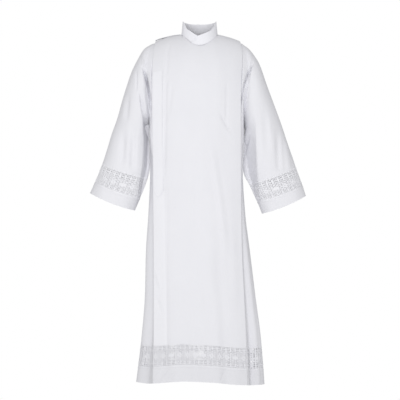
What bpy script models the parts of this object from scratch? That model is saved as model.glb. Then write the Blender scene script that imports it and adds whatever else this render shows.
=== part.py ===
"""An alb as it hangs when worn: hollow, and open at the neck, the cuffs and the hem.

Metres, +Z up. -Y is the front and +X is the wearer's left. The origin is midway between
the two points where the shoulder ridges meet the collar.

Every piece of cloth is a wall laid on a smooth surface, through rows of points that run
across it. A row holds (point, normal) pairs, where the normal points out of the garment.
Heights are given as a drop below the origin.
"""

import math
from collections import namedtuple

import bpy
from mathutils import Vector

# ---------------------------------------------------------------- driving dimensions
CLOTH = 0.0016  # wall of one layer of cloth
PLACKET_CLOTH = 0.0012
COLLAR_CLOTH = 0.0022
SEAM = 0.0003  # gap between two pieces at a seam

CHEST = 0.24  # drop at which the cloth leaves the body and hangs
ARMPIT = 0.385
LACE_TOP = 1.303  # drop of the top of the hem's lace, for spacing the rows
LACE = 0.094  # height of the lace insertion at the hem
HEM_BAND = 0.063  # height of the band under it

PLEAT_RADIUS = 0.0014  # of the turn at a pleat's edge, to the middle of the wall
PLEAT_RETURN = 0.036  # width of the layer that turns back under an edge
UNDERLAP = 0.052  # how far a side panel reaches in under the front or back
UNDER_DEPTH = 0.0054  # its depth there below the front or back

NECK_HALF_WIDTH = 0.0755
NECK_FRONT = 0.092
NECK_BACK = 0.062
COLLAR_LEAN = 0.93  # top of the collar over its base, in plan
COLLAR_PASS = 26  # degrees that each end runs past the centre front
COLLAR_STEP = 0.0021  # how far each end stands off the middle of the band
COLLAR_SPREAD = 50  # degrees over which an end comes back to it
COLLAR_FOOT = 0.0026  # from the middle of the neckline's wall up to the collar

PLACKET_WIDTH = 0.043
PLACKET_EDGE = 0.005  # from the front's own edge to the placket's
PLACKET_POINT = 0.009  # width of its pointed foot
PLACKET_TAPER = 0.026  # height of the point
FLAP_EDGES = (-0.1855, -0.0820)  # x of the shoulder flap's outer and inner edges
FLAP_FRONT = 0.016  # how far the flap reaches down the front
FLAP_BACK = 0.014
FLAP_LIFT = 0.0050  # how far its outer corner stands off the shoulder
FLAP_FREE = 0.6  # share of its length that is lifted
FLAP_STEP = 0.01  # least share of the panel's width between two of its columns

WHITE = (0.84, 0.83, 0.87, 1.0)
LACE_WHITE = (0.72, 0.71, 0.75, 1.0)

# ---------------------------------------------------------------- tables
# Height of the shoulder ridge, seen from the front. Its middle is only the dome that the
# neckline is cut from.
Ridge = namedtuple("Ridge", "x drop")
RIDGE = [
    Ridge(-0.215, 0.0500),
    Ridge(-0.190, 0.0325),
    Ridge(-0.166, 0.0215),
    Ridge(-0.120, 0.0065),
    Ridge(-0.0755, 0.0000),
    Ridge(0.000, -0.0150),
    Ridge(0.0755, 0.0000),
    Ridge(0.124, 0.0120),
    Ridge(0.166, 0.0270),
    Ridge(0.200, 0.0500),
]

# The body from the shoulder down. The edges are the x of the front's and back's own
# edges, the sides are the outermost x, and mid and edge are the depths of the front and
# back at their middle and their edges.
Section = namedtuple(
    "Section", "drop edge_right edge_left side_right side_left front_mid front_edge back_mid back_edge"
)
BODY = [
    Section(0.00, -0.1870, 0.1720, 0.212, 0.188, 0.136, 0.098, 0.126, 0.088),
    Section(0.05, -0.1935, 0.1800, 0.212, 0.188, 0.136, 0.098, 0.126, 0.088),
    Section(0.10, -0.1965, 0.1800, 0.212, 0.188, 0.136, 0.098, 0.126, 0.088),
    Section(0.16, -0.1980, 0.1760, 0.212, 0.188, 0.136, 0.098, 0.126, 0.088),
    Section(0.24, -0.1985, 0.1740, 0.212, 0.188, 0.136, 0.098, 0.126, 0.088),
    Section(0.385, -0.1985, 0.1735, 0.212, 0.188, 0.141, 0.102, 0.127, 0.088),
    Section(0.57, -0.1970, 0.1735, 0.208, 0.182, 0.143, 0.104, 0.128, 0.089),
    Section(0.75, -0.1960, 0.1745, 0.215, 0.192, 0.146, 0.108, 0.133, 0.095),
    Section(0.92, -0.1950, 0.1775, 0.226, 0.213, 0.152, 0.115, 0.141, 0.104),
    Section(1.10, -0.1950, 0.1860, 0.230, 0.235, 0.160, 0.124, 0.152, 0.116),
    Section(1.28, -0.1960, 0.1940, 0.244, 0.257, 0.169, 0.134, 0.165, 0.130),
    Section(1.48, -0.1995, 0.1995, 0.268, 0.272, 0.181, 0.148, 0.180, 0.146),
]

# Drop of the hem along its way round, by x. The front is lifted a little at its middle.
Hem = namedtuple("Hem", "x front back")
HEM = [
    Hem(-0.268, 1.464, 1.464),
    Hem(-0.200, 1.461, 1.462),
    Hem(-0.060, 1.450, 1.457),
    Hem(0.060, 1.455, 1.457),
    Hem(0.140, 1.464, 1.460),
    Hem(0.200, 1.468, 1.464),
    Hem(0.272, 1.472, 1.472),
]

# The armhole seam seen from the front. Share runs from its top to the armpit, and its
# depth follows an ellipse.
ARMHOLE_TOP = {-1: 0.0395, 1: 0.0405}
ARMHOLE_DEPTH = 0.070
Armhole = namedtuple("Armhole", "share right left")
ARMHOLE = [
    Armhole(0.00, 0.199, 0.181),
    Armhole(0.12, 0.214, 0.195),
    Armhole(0.30, 0.222, 0.204),
    Armhole(0.52, 0.219, 0.198),
    Armhole(0.76, 0.214, 0.190),
    Armhole(1.00, 0.212, 0.188),
]

# Each sleeve from its armhole to its cuff. Upper is the line over the arm, lower the line
# under it, depth is half of the sleeve's size from front to back and forward is how far
# it has swung to the front, and dip how much lower its front and back hang than a flat
# ring. Lace runs from share 1 to 2 and the cuff's band from 2 to 3.
Sleeve = namedtuple("Sleeve", "share upper_x upper_drop lower_x lower_drop depth forward dip")
SLEEVE_RIGHT = [
    Sleeve(0.00, 0.1990, 0.0395, 0.2120, 0.385, 0.070, 0.000, 0.000),
    Sleeve(0.08, 0.2290, 0.0570, 0.2185, 0.425, 0.084, 0.001, 0.000),
    Sleeve(0.20, 0.2660, 0.1130, 0.2210, 0.465, 0.088, 0.002, 0.000),
    Sleeve(0.38, 0.3060, 0.2140, 0.2210, 0.510, 0.087, 0.004, 0.000),
    Sleeve(0.60, 0.3420, 0.3400, 0.2200, 0.550, 0.084, 0.008, 0.001),
    Sleeve(0.80, 0.3780, 0.4500, 0.2195, 0.580, 0.080, 0.013, 0.004),
    Sleeve(1.00, 0.4074, 0.5460, 0.2210, 0.606, 0.076, 0.018, 0.006),
    Sleeve(2.00, 0.4423, 0.6265, 0.2535, 0.693, 0.072, 0.022, 0.008),
    Sleeve(3.00, 0.4610, 0.6700, 0.2734, 0.7426, 0.070, 0.024, 0.008),
]
SLEEVE_LEFT = [
    Sleeve(0.00, 0.1830, 0.0405, 0.1880, 0.385, 0.070, 0.000, 0.000),
    Sleeve(0.08, 0.2090, 0.0610, 0.1935, 0.430, 0.084, 0.001, 0.000),
    Sleeve(0.20, 0.2460, 0.1130, 0.1940, 0.475, 0.088, 0.002, 0.000),
    Sleeve(0.38, 0.2850, 0.2140, 0.1930, 0.525, 0.087, 0.004, 0.000),
    Sleeve(0.60, 0.3315, 0.3400, 0.1930, 0.565, 0.084, 0.008, 0.001),
    Sleeve(0.80, 0.3700, 0.4550, 0.1955, 0.598, 0.080, 0.013, 0.004),
    Sleeve(1.00, 0.4040, 0.5600, 0.2080, 0.631, 0.076, 0.018, 0.006),
    Sleeve(2.00, 0.4345, 0.6400, 0.2450, 0.708, 0.072, 0.022, 0.008),
    Sleeve(3.00, 0.4480, 0.6810, 0.2640, 0.756, 0.070, 0.024, 0.008),
]

# Height of the collar by the angle from the centre front round to the wearer's left. It
# begins with the end that lies on top and finishes with the end that lies under it.
Collar = namedtuple("Collar", "angle height")
COLLAR = [
    Collar(-COLLAR_PASS, 0.0110),
    Collar(0, 0.0370),
    Collar(30, 0.0350),
    Collar(52, 0.0365),
    Collar(75, 0.0480),
    Collar(90, 0.0525),
    Collar(180, 0.0500),
    Collar(270, 0.0525),
    Collar(285, 0.0480),
    Collar(308, 0.0365),
    Collar(330, 0.0350),
    Collar(360, 0.0370),
    Collar(360 + COLLAR_PASS, 0.0110),
]

# The largest folds, each a soft ridge (or, with a negative depth, a trough) along a line
# from its top to its foot, both seen from the front. It grows from nothing at the top.
Fold = namedtuple("Fold", "top_x top_drop foot_x foot_drop width depth")
FRONT_FOLDS = [
    Fold(0.015, 0.50, 0.070, 1.46, 0.045, 0.009),
    Fold(0.060, 0.70, 0.112, 1.46, 0.030, -0.007),
    Fold(-0.030, 0.95, -0.015, 1.46, 0.040, -0.007),
    Fold(-0.100, 0.80, -0.100, 1.46, 0.045, 0.007),
]
BACK_FOLDS = [
    Fold(-0.040, 0.45, -0.095, 1.46, 0.045, 0.010),
    Fold(0.010, 0.60, 0.005, 1.46, 0.040, -0.009),
    Fold(0.060, 0.40, 0.100, 1.46, 0.050, 0.011),
]


# ---------------------------------------------------------------- reading the tables
def smooth(table, key, column):
    """A function of key that runs through one column of a table without overshooting."""
    at = [getattr(row, key) for row in table]
    values = [getattr(row, column) for row in table]
    rates = []
    for i in range(len(at) - 1):
        rates.append((values[i + 1] - values[i]) / (at[i + 1] - at[i]))
    slopes = [rates[0]]
    for before, after in zip(rates, rates[1:]):
        turns = before * after <= 0
        slopes.append(0.0 if turns else 2 * before * after / (before + after))
    slopes.append(rates[-1])

    def read(where):
        i = 0
        while i < len(at) - 2 and where > at[i + 1]:
            i += 1
        span = at[i + 1] - at[i]
        t = min(1.0, max(0.0, (where - at[i]) / span))
        rise = values[i + 1] - values[i]
        start = slopes[i] * span
        end = slopes[i + 1] * span
        bend = 3 * rise - 2 * start - end
        return values[i] + t * start + t * t * bend + t**3 * (start + end - 2 * rise)

    return read


def mix(a, b, share):
    return a + (b - a) * share


def share_of(a, b, where):
    return (where - a) / (b - a)


def ease(share):
    """0 to 1 with a level start and end."""
    share = min(1.0, max(0.0, share))
    return share * share * (3 - 2 * share)


RIGHT, LEFT = -1, 1
FRONT, BACK = -1, 1
ridge_drop = smooth(RIDGE, "x", "drop")
body = {name: smooth(BODY, "drop", name) for name in Section._fields[1:]}
hem_of = {FRONT: smooth(HEM, "x", "front"), BACK: smooth(HEM, "x", "back")}
collar_height = smooth(COLLAR, "angle", "height")
armhole_x = {RIGHT: smooth(ARMHOLE, "share", "right"), LEFT: smooth(ARMHOLE, "share", "left")}
side_x = {RIGHT: body["side_right"], LEFT: body["side_left"]}
sleeve = {
    RIGHT: {name: smooth(SLEEVE_RIGHT, "share", name) for name in Sleeve._fields[1:]},
    LEFT: {name: smooth(SLEEVE_LEFT, "share", name) for name in Sleeve._fields[1:]},
}


def bell(distance):
    """1 at 0, falling smoothly to 0 at 1."""
    return (1 - distance * distance) ** 2 if abs(distance) < 1 else 0.0


def fold_depth(folds, x, drop):
    """How far the cloth stands out at a point, for all the folds that pass there."""
    out = 0.0
    for fold in folds:
        share = share_of(fold.top_drop, fold.foot_drop, drop)
        if share > 0:
            away = x - mix(fold.top_x, fold.foot_x, share)
            out += fold.depth * min(1.0, share) * bell(away / fold.width)
    return out


# ---------------------------------------------------------------- front and back
PANEL_POWER = 2.2  # how late the front and back curve away towards their edges
YOKE_POWER = {FRONT: 2.0, BACK: 2.5}  # how flat the shoulder starts
NECK_DEPTH = {FRONT: NECK_FRONT, BACK: NECK_BACK}
FOLDS = {FRONT: FRONT_FOLDS, BACK: BACK_FOLDS}
FACE_NAME = {FRONT: "front", BACK: "back"}
STEP = 1e-3  # for slopes


def depth_at(face, x, drop):
    """Distance of the front or back from the shoulder plane."""
    mid = body[FACE_NAME[face] + "_mid"](drop)
    edge = body[FACE_NAME[face] + "_edge"](drop)
    right, left = body["edge_right"](drop), body["edge_left"](drop)
    off_centre = abs(x - (right + left) / 2) / ((left - right) / 2)
    return mid - (mid - edge) * off_centre**PANEL_POWER


def yoke_z(face, x, y):
    """Height of the shoulder cloth above a point of the plan."""
    power = YOKE_POWER[face]
    across = min(1.0, abs(y) / depth_at(face, x, CHEST))
    fall = 1 - (1 - across**power) ** (1 / power)
    return -ridge_drop(x) - (CHEST - ridge_drop(x)) * fall


def neck_y(face, x):
    """Depth of the neckline at x."""
    return NECK_DEPTH[face] * math.sqrt(max(0.0, 1 - (x / NECK_HALF_WIDTH) ** 2))


def hanging_drop(face, x, v):
    """Drop at v: 1 is the chest, 2 the top of the lace, 3 its foot and 4 the hem."""
    hem = hem_of[face](x)
    stops = [CHEST, hem - HEM_BAND - LACE, hem - HEM_BAND, hem]
    i = min(2, max(0, int(v - 1)))
    return mix(stops[i], stops[i + 1], v - 1 - i)


def panel_point(face, u, v):
    """The front or back: u runs from the wearer's right edge to the left one, and v from
    0 at the shoulder to 1 at the chest, then as for hanging_drop."""
    if v <= 1:
        drop = CHEST * (1 - math.cos(v * math.pi / 2))
        x = mix(body["edge_right"](drop), body["edge_left"](drop), u)
        top_x = mix(body["edge_right"](0), body["edge_left"](0), u)
        start = math.asin(neck_y(face, top_x) / depth_at(face, top_x, CHEST))
        y = depth_at(face, x, CHEST) * math.sin(mix(start, math.pi / 2, v))
        return Vector((x, face * y, yoke_z(face, x, y)))
    x = mix(body["edge_right"](CHEST), body["edge_left"](CHEST), u)
    for _ in range(3):  # x depends on the drop, and the hem's drop on x
        drop = hanging_drop(face, x, v)
        x = mix(body["edge_right"](drop), body["edge_left"](drop), u)
    y = depth_at(face, x, drop) + fold_depth(FOLDS[face], x, drop)
    return Vector((x, face * y, -drop))


def normal(surface, u, v, inside):
    """Unit normal of a surface, which points away from the point inside."""
    across = surface(u + STEP, v) - surface(u - STEP, v)
    down = surface(u, v + STEP) - surface(u, v - STEP)
    n = down.cross(across).normalized()
    return n if n.dot(surface(u, v) - inside) > 0 else -n


def panel_normal(face, u, v):
    point = panel_point(face, u, v)
    inside = Vector((point.x * 0.9, 0, point.z - 0.1))
    n = normal(lambda a, b: panel_point(face, a, b), u, v, inside)
    if v == 0 and abs(point.y) < 1e-6:
        n.y = 0  # the ridge, where front and back meet
        n.normalize()
    return n


PANEL_WIDTH = body["edge_left"](0) - body["edge_right"](0)


def panel_row(face, v):
    """One row of the front or back, with a pleat's return under each edge. The outermost
    point of each turn is on the panel's own edge."""
    under = []
    over = []
    for edge, inward in ((0.0, 1), (1.0, -1)):
        at = lambda reach: edge + inward * reach / PANEL_WIDTH
        side = []
        for reach in (PLEAT_RETURN, PLEAT_RADIUS):
            n = panel_normal(face, at(reach), v)
            side.append((panel_point(face, at(reach), v) - 2 * PLEAT_RADIUS * n, -n))
        n = panel_normal(face, at(PLEAT_RADIUS), v)
        top = panel_point(face, at(PLEAT_RADIUS), v)
        outward = (panel_point(face, at(0), v) - top).normalized()
        side.append((top + PLEAT_RADIUS * (outward - n), outward))
        side.append((top, n))
        under.append(side)
    for u in COLUMNS[1:-1]:
        over.append((panel_point(face, u, v), panel_normal(face, u, v)))
    return under[0] + over + under[1][::-1]


def spread(start, end, count):
    return [mix(start, end, i / count) for i in range(count)]


def columns():
    """Shares across a panel: closer together at the corners of the neckline."""
    right, left = body["edge_right"](0), body["edge_left"](0)
    neck = [-NECK_HALF_WIDTH * math.cos(math.pi * i / 8) for i in range(8)]
    xs = spread(right, -NECK_HALF_WIDTH, 5) + neck + spread(NECK_HALF_WIDTH, left, 4) + [left]
    return [share_of(right, left, x) for x in xs]


COLUMNS = columns()

# ---------------------------------------------------------------- rows shared by pieces
ARM_ROWS = 10  # rows from the shoulder to the armpit
RIDGE_END = 0.0315


def row_v(theta):
    """The panels' v for a row that meets the armhole at an angle from its top."""
    drop = mix(RIDGE_END, ARMPIT, (1 - math.cos(theta)) / 2)
    if drop <= CHEST:
        v = math.acos(1 - share_of(RIDGE_END, CHEST, drop)) * 2 / math.pi
        return math.copysign(v, theta)
    return 1 + share_of(CHEST, LACE_TOP, drop)


UPPER_ROWS = [i / ARM_ROWS for i in range(ARM_ROWS + 1)]  # as shares down to the armpit
LOWER_DROPS = [0.50, 0.585, 0.66, 0.78, 0.91, 1.04, 1.17]
LOWER_ROWS = [1 + share_of(ARMPIT, LACE_TOP, drop) for drop in LOWER_DROPS]
MAIN_ROWS = UPPER_ROWS + LOWER_ROWS + [2.0]  # 1 is the armpit, 2 the top of the lace
PLACKET_ROWS = MAIN_ROWS[4:14]
LACE_ROWS = [2.0, 2.5, 3.0]
HEM_ROWS = [3.0, 4.0]


def panel_v(row):
    """The panels' v for a shared row."""
    if row <= 1:
        return row_v(row * math.pi)
    if row <= 2:
        return mix(row_v(math.pi), 2.0, row - 1)
    return row


# ---------------------------------------------------------------- side panels
SIDE_ROUND = 0.38  # how full a side panel's bend is, as a share of its chord
SQUARE_FROM = 0.75  # the share of the armhole from which it turns square to the seam


def armhole_point(side, theta, face):
    """The armhole seam: theta is 0 at its top and pi at the armpit."""
    share = (1 - math.cos(theta)) / 2
    drop = mix(ARMHOLE_TOP[side], ARMPIT, share)
    return Vector((side * armhole_x[side](share), face * ARMHOLE_DEPTH * math.sin(theta), -drop))


def side_point(side, face, u, row):
    """A side panel. u runs from 0 where it ends under the front or back, through 1 under
    their edge, to 2 at the armhole or side seam."""
    v = panel_v(row)
    edge = 0.0 if side == RIGHT else 1.0
    under_u = lambda reach: edge - side * reach / PANEL_WIDTH
    if u <= 1:
        at = under_u(UNDERLAP * (1 - u))
        return panel_point(face, at, v) - UNDER_DEPTH * panel_normal(face, at, v)
    start = side_point(side, face, 1.0, row)
    heading = (start - side_point(side, face, 0.9, row)).normalized()
    if row <= 1:
        end = armhole_point(side, row * math.pi, face)
    else:
        end = Vector((side * side_x[side](-start.z), 0, start.z))
        if row > 2:
            end.z = -hanging_drop(face, end.x, v)
    chord = end - start
    # Below the armpit the panel comes round to the side seam square to it.
    square = ease(share_of(SQUARE_FROM, 1.0, row))
    arrival = (chord.normalized() * (1 - square) + Vector((0, -face, 0)) * square).normalized()
    length = chord.length
    t = u - 1
    reach = 0.8 * abs(chord.x) / max(0.3, abs(heading.x))  # keeps the bend inside the end
    first = start + heading * min(length * SIDE_ROUND, reach)
    second = end - arrival * length * SIDE_ROUND
    near = start * (1 - t) ** 3 + first * 3 * t * (1 - t) ** 2
    return near + second * 3 * t * t * (1 - t) + end * t**3


def side_normal(side, face, u, row):
    point = side_point(side, face, u, row)
    inside = Vector((0, 0, point.z - 0.05))
    surface = lambda a, b: side_point(side, face, a, b)
    if u == 1.0:
        u -= 5 * STEP  # keeps to one side of the bend under the panel's edge
    n = normal(surface, u, max(row, 4 * STEP), inside)
    if row == 0 and u < 2:
        n.y = 0
        n.normalize()
    return n


def armhole_seam(side, theta, face):
    """The shared edge of a side panel and a sleeve: the direction that halves the angle
    between their walls, and the direction from the panel to the sleeve."""
    theta = min(max(theta, 1e-4), math.pi - 1e-4)
    seam = armhole_point(side, theta, face)
    middle = (armhole_point(side, 0, face) + armhole_point(side, math.pi, face)) / 2
    along = (armhole_point(side, theta - STEP, face) - seam).normalized()
    panel_out = side_normal(side, face, 1.98, theta / math.pi)
    sleeve_out = sleeve_normal(side, face * theta, 0.02)
    to_panel = along.cross(panel_out).normalized()
    if to_panel.dot(seam - middle) < 0:
        to_panel.negate()
    to_sleeve = along.cross(sleeve_out).normalized()
    if to_sleeve.dot(sleeve_point(side, face * theta, 0.03) - seam) < 0:
        to_sleeve.negate()
    outward = panel_out + sleeve_out
    fork = to_panel + to_sleeve
    if outward.length > 0.5 and outward.dot(fork) < 0:
        fork.negate()
    n = outward + fork
    n -= along * n.dot(along)
    apart = to_sleeve - to_panel
    if theta < 1e-3 or theta > math.pi - 1e-3:
        n.y = 0
        apart.y = 0
    return n.normalized(), apart.normalized()


def side_row(side, face, row):
    """One row of a side panel."""
    cells = []
    for u in (0.0, 0.5, 1.0, 1.25, 1.5, 1.75):
        cells.append((side_point(side, face, u, row), side_normal(side, face, u, row)))
    point = side_point(side, face, 2.0, row)
    if row <= 1:
        n, apart = armhole_seam(side, row * math.pi, face)
        shift = -apart * SEAM / 2
        if row == 1:
            shift.y += face * SEAM / 2
        cells.append((point, n, shift))
    else:
        n = side_normal(side, face, 2.0, row)
        n.y = 0
        cells.append((point, n.normalized()))
    return cells


# ---------------------------------------------------------------- sleeves
def sleeve_point(side, theta, s):
    """A sleeve. theta is 0 along the line over the arm and pi along the line under it,
    negative on the front."""
    at = sleeve[side]
    share = (1 - math.cos(theta)) / 2
    x = mix(at["upper_x"](s), at["lower_x"](s), share)
    flat = mix(at["upper_x"](0), at["lower_x"](0), share)
    x += (armhole_x[side](share) - flat) * max(0.0, 1 - s) ** 3
    drop = mix(at["upper_drop"](s), at["lower_drop"](s), share)
    drop += at["dip"](s) * math.sin(theta) ** 2
    y = at["depth"](s) * math.sin(theta) - at["forward"](s)
    return Vector((side * x, y, -drop))


def sleeve_normal(side, theta, s):
    middle = (sleeve_point(side, 0, s) + sleeve_point(side, math.pi, s)) / 2
    inside = Vector((middle.x, middle.y, middle.z))
    return normal(lambda a, b: sleeve_point(side, a, b), theta, max(s, 0.01), inside)


def sleeve_row(side, s):
    """One ring of a sleeve, from the line over the arm round by the back."""
    ring = []
    for i in range(2 * ARM_ROWS):
        theta = math.pi * i / ARM_ROWS
        if theta > math.pi:
            theta -= 2 * math.pi
        point = sleeve_point(side, theta, s)
        if s == 0:
            n, apart = armhole_seam(side, abs(theta), BACK if theta >= 0 else FRONT)
            ring.append((point, n, apart * SEAM / 2))
        else:
            ring.append((point, sleeve_normal(side, theta, s)))
    return ring


# ---------------------------------------------------------------- collar
COLLAR_SPANS = 34


def collar_point(angle, share):
    """The collar: angle from the centre front round by the wearer's left, share from the
    neck seam to the top edge."""
    turn = math.radians(angle)
    face = FRONT if math.cos(turn) > 0 else BACK
    x = NECK_HALF_WIDTH * math.sin(turn)
    y = face * neck_y(face, x)
    base = yoke_z(face, x, y) + COLLAR_FOOT
    on_top = 1 - ease((angle - COLLAR_PASS) / COLLAR_SPREAD)
    below = 1 - ease((360 - COLLAR_PASS - angle) / COLLAR_SPREAD)
    step = COLLAR_STEP * (on_top - below)
    out = Vector((math.sin(turn), -math.cos(turn), 0))
    lean = mix(1, COLLAR_LEAN, share)
    return Vector((x * lean, y * lean, base + collar_height(angle) * share)) + out * step


def collar_row(share):
    row = []
    for i in range(COLLAR_SPANS + 1):
        angle = mix(-COLLAR_PASS, 360 + COLLAR_PASS, i / COLLAR_SPANS)
        point = collar_point(angle, share)
        n = normal(collar_point, angle, share, Vector((0, 0, point.z)))
        row.append((point, n))
    return row


# ---------------------------------------------------------------- pieces on the front
def on_panel(face, u, v, height):
    """A point and its normal at a height above the middle of the front's or back's wall."""
    n = panel_normal(face, u, v)
    return panel_point(face, u, v) + n * height, n


def placket_rows():
    """The strip over the zip: square at the top, and pointed at the foot."""
    height = CLOTH / 2 + SEAM + PLACKET_CLOTH / 2
    outer = PLACKET_EDGE / PANEL_WIDTH
    inner = PLACKET_WIDTH / PANEL_WIDTH
    middle = (outer + inner) / 2
    half_point = PLACKET_POINT / 2 / PANEL_WIDTH
    rows = []
    for row in PLACKET_ROWS:
        v = panel_v(row)
        rows.append([on_panel(FRONT, u, v, height) for u in (outer, middle, inner)])
    foot = v + PLACKET_TAPER / (LACE_TOP - CHEST)
    point = (middle - half_point, middle, middle + half_point)
    rows.append([on_panel(FRONT, u, foot, height) for u in point])
    return rows


def flap_rows():
    """The flap over the wearer's right shoulder: it lies across the ridge from the collar
    to the corner, and its outer corner is lifted."""
    first = panel_v(MAIN_ROWS[1])
    right, left = body["edge_right"](0), body["edge_left"](0)
    outer, inner = (share_of(right, left, x) for x in FLAP_EDGES)
    us = [outer] + [u for u in COLUMNS if outer + FLAP_STEP < u < inner - FLAP_STEP] + [inner]
    rows = []
    for face, reach, lift in ((FRONT, FLAP_FRONT, 1), (FRONT, 0, 1), (BACK, FLAP_BACK, 0.6)):
        row = []
        for u in us:
            ridge, up = on_panel(face, u, 0.0, CLOTH + SEAM)
            down, n = on_panel(face, u, first, CLOTH + SEAM)
            share = reach / (down - ridge).length
            # The row on the ridge and those beside it share the panels' own facets.
            point = ridge.lerp(down, share)
            free = 1 - ease(share_of(outer, mix(outer, inner, FLAP_FREE), u))
            point.z += FLAP_LIFT * free * lift
            row.append((point, up.lerp(n, share / 2).normalized()))
        rows.append(row)
    return rows


# ---------------------------------------------------------------- making solids
def clear_scene():
    for item in list(bpy.data.objects):
        bpy.data.objects.remove(item, do_unlink=True)


def material(name, colour, roughness):
    made = bpy.data.materials.new(name)
    made.use_nodes = True
    shader = made.node_tree.nodes["Principled BSDF"]
    shader.inputs["Base Color"].default_value = colour
    shader.inputs["Roughness"].default_value = roughness
    made.diffuse_color = colour
    return made


def drawn_in(rows, closed):
    """The rows' points with each free edge drawn in by half of a seam's gap. A cell that
    has a shift of its own takes that instead."""
    points = [[cell[0].copy() for cell in row] for row in rows]
    high, wide = len(rows), len(rows[0])

    def draw(i, j, from_i, from_j):
        towards = rows[from_i][from_j][0] - rows[i][j][0]
        points[i][j] += towards.normalized() * SEAM / 2

    for j in range(wide):
        if closed and len(rows[0][j]) == 3:
            points[0][j] += rows[0][j][2]
        else:
            draw(0, j, 1, j)
        draw(high - 1, j, high - 2, j)
    if not closed:
        for i in range(high):
            draw(i, 0, i, 1)
            if len(rows[i][-1]) == 3:
                points[i][-1] += rows[i][-1][2]
            else:
                draw(i, wide - 1, i, wide - 2)
    return points


def wall(name, rows, thickness, surface, closed=False):
    """One closed solid of even thickness, with its middle on the rows of points."""
    middles = drawn_in(rows, closed)
    outer, inner = [], []
    for i, row in enumerate(rows):
        for j, cell in enumerate(row):
            outer.append(middles[i][j] + cell[1] * thickness / 2)
            inner.append(middles[i][j] - cell[1] * thickness / 2)
    high, wide = len(rows), len(rows[0])
    count = high * wide
    spans = wide if closed else wide - 1
    faces = []
    for i in range(high - 1):
        for j in range(spans):
            a, b = i * wide + j, i * wide + (j + 1) % wide
            c, d = b + wide, a + wide
            faces.append((a, b, c, d))
            faces.append((d + count, c + count, b + count, a + count))
    for j in range(spans):
        a, b = j, (j + 1) % wide
        faces.append((b, a, a + count, b + count))
        a, b = a + (high - 1) * wide, b + (high - 1) * wide
        faces.append((a, b, b + count, a + count))
    if not closed:
        for i in range(high - 1):
            a, d = i * wide, (i + 1) * wide
            faces.append((a, d, d + count, a + count))
            b, c = a + wide - 1, d + wide - 1
            faces.append((c, b, b + count, c + count))
    mesh = bpy.data.meshes.new(name)
    mesh.from_pydata([tuple(p) for p in outer + inner], [], faces)
    mesh.materials.append(surface)
    mesh.update()
    solid = bpy.data.objects.new(name, mesh)
    bpy.context.scene.collection.objects.link(solid)
    if volume_of(mesh) < 0:
        mesh.flip_normals()
    return solid


def volume_of(mesh):
    mesh.calc_loop_triangles()
    total = 0.0
    for triangle in mesh.loop_triangles:
        a, b, c = (mesh.vertices[i].co for i in triangle.vertices)
        total += a.dot(b.cross(c)) / 6
    return total


# ---------------------------------------------------------------- the alb
clear_scene()
cloth = material("cloth", WHITE, 0.8)
lace = material("lace", LACE_WHITE, 0.85)
SIDE_NAME = {RIGHT: "right", LEFT: "left"}

for face in (FRONT, BACK):
    where = FACE_NAME[face]
    main = [panel_row(face, panel_v(row)) for row in MAIN_ROWS]
    wall(where + "_panel", main, CLOTH, cloth)
    wall("hem_lace_" + where, [panel_row(face, v) for v in LACE_ROWS], CLOTH, lace)
    wall("hem_band_" + where, [panel_row(face, v) for v in HEM_ROWS], CLOTH, cloth)
    for side in (RIGHT, LEFT):
        which = where + "_" + SIDE_NAME[side]
        main = [side_row(side, face, row) for row in MAIN_ROWS]
        wall("side_" + which, main, CLOTH, cloth)
        wall("hem_lace_" + which, [side_row(side, face, v) for v in LACE_ROWS], CLOTH, lace)
        wall("hem_band_" + which, [side_row(side, face, v) for v in HEM_ROWS], CLOTH, cloth)

for side in (RIGHT, LEFT):
    which = SIDE_NAME[side]
    shares = (0.0, 0.08, 0.20, 0.38, 0.60, 0.80, 1.0)
    wall("sleeve_" + which, [sleeve_row(side, s) for s in shares], CLOTH, cloth, closed=True)
    rings = [sleeve_row(side, s) for s in (1.0, 2.0)]
    wall("sleeve_lace_" + which, rings, CLOTH, lace, closed=True)
    rings = [sleeve_row(side, s) for s in (2.0, 3.0)]
    wall("cuff_" + which, rings, CLOTH, cloth, closed=True)

wall("collar", [collar_row(share) for share in (0.0, 0.5, 1.0)], COLLAR_CLOTH, cloth)
wall("zip_placket", placket_rows(), PLACKET_CLOTH, cloth)
wall("shoulder_flap", flap_rows(), CLOTH, cloth)
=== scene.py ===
# %% [markdown]
# # A white alb, as it hangs when worn
#
# An alb is the long white robe that goes under other vestments. This one is plain cotton
# blend, with pleated sides, a crossed standing collar, a hidden zip beside one pleat, and
# bands of openwork lace let in above the hem and the cuffs.
#
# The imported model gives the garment's form as faceted walls. Here each of its pieces is
# made again as thin cloth: a flat cut is laid on the same surface, much more finely, and
# is given its folds, weave and stitching.

# %% Load the frame
import math
from collections import namedtuple

import bpy
import numpy as np
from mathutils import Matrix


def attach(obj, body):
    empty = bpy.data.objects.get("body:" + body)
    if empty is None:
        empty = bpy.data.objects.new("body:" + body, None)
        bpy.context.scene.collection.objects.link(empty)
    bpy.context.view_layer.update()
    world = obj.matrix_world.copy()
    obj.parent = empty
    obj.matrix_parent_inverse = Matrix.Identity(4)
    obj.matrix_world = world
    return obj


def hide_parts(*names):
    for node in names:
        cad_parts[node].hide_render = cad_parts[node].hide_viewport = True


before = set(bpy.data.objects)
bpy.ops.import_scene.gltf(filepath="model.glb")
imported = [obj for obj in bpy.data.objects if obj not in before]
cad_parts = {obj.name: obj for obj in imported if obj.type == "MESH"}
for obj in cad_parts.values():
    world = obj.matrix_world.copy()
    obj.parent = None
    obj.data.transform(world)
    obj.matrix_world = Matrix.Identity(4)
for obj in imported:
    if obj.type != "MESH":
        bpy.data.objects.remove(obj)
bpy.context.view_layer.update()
print("pieces in the frame:", len(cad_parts))

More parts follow.
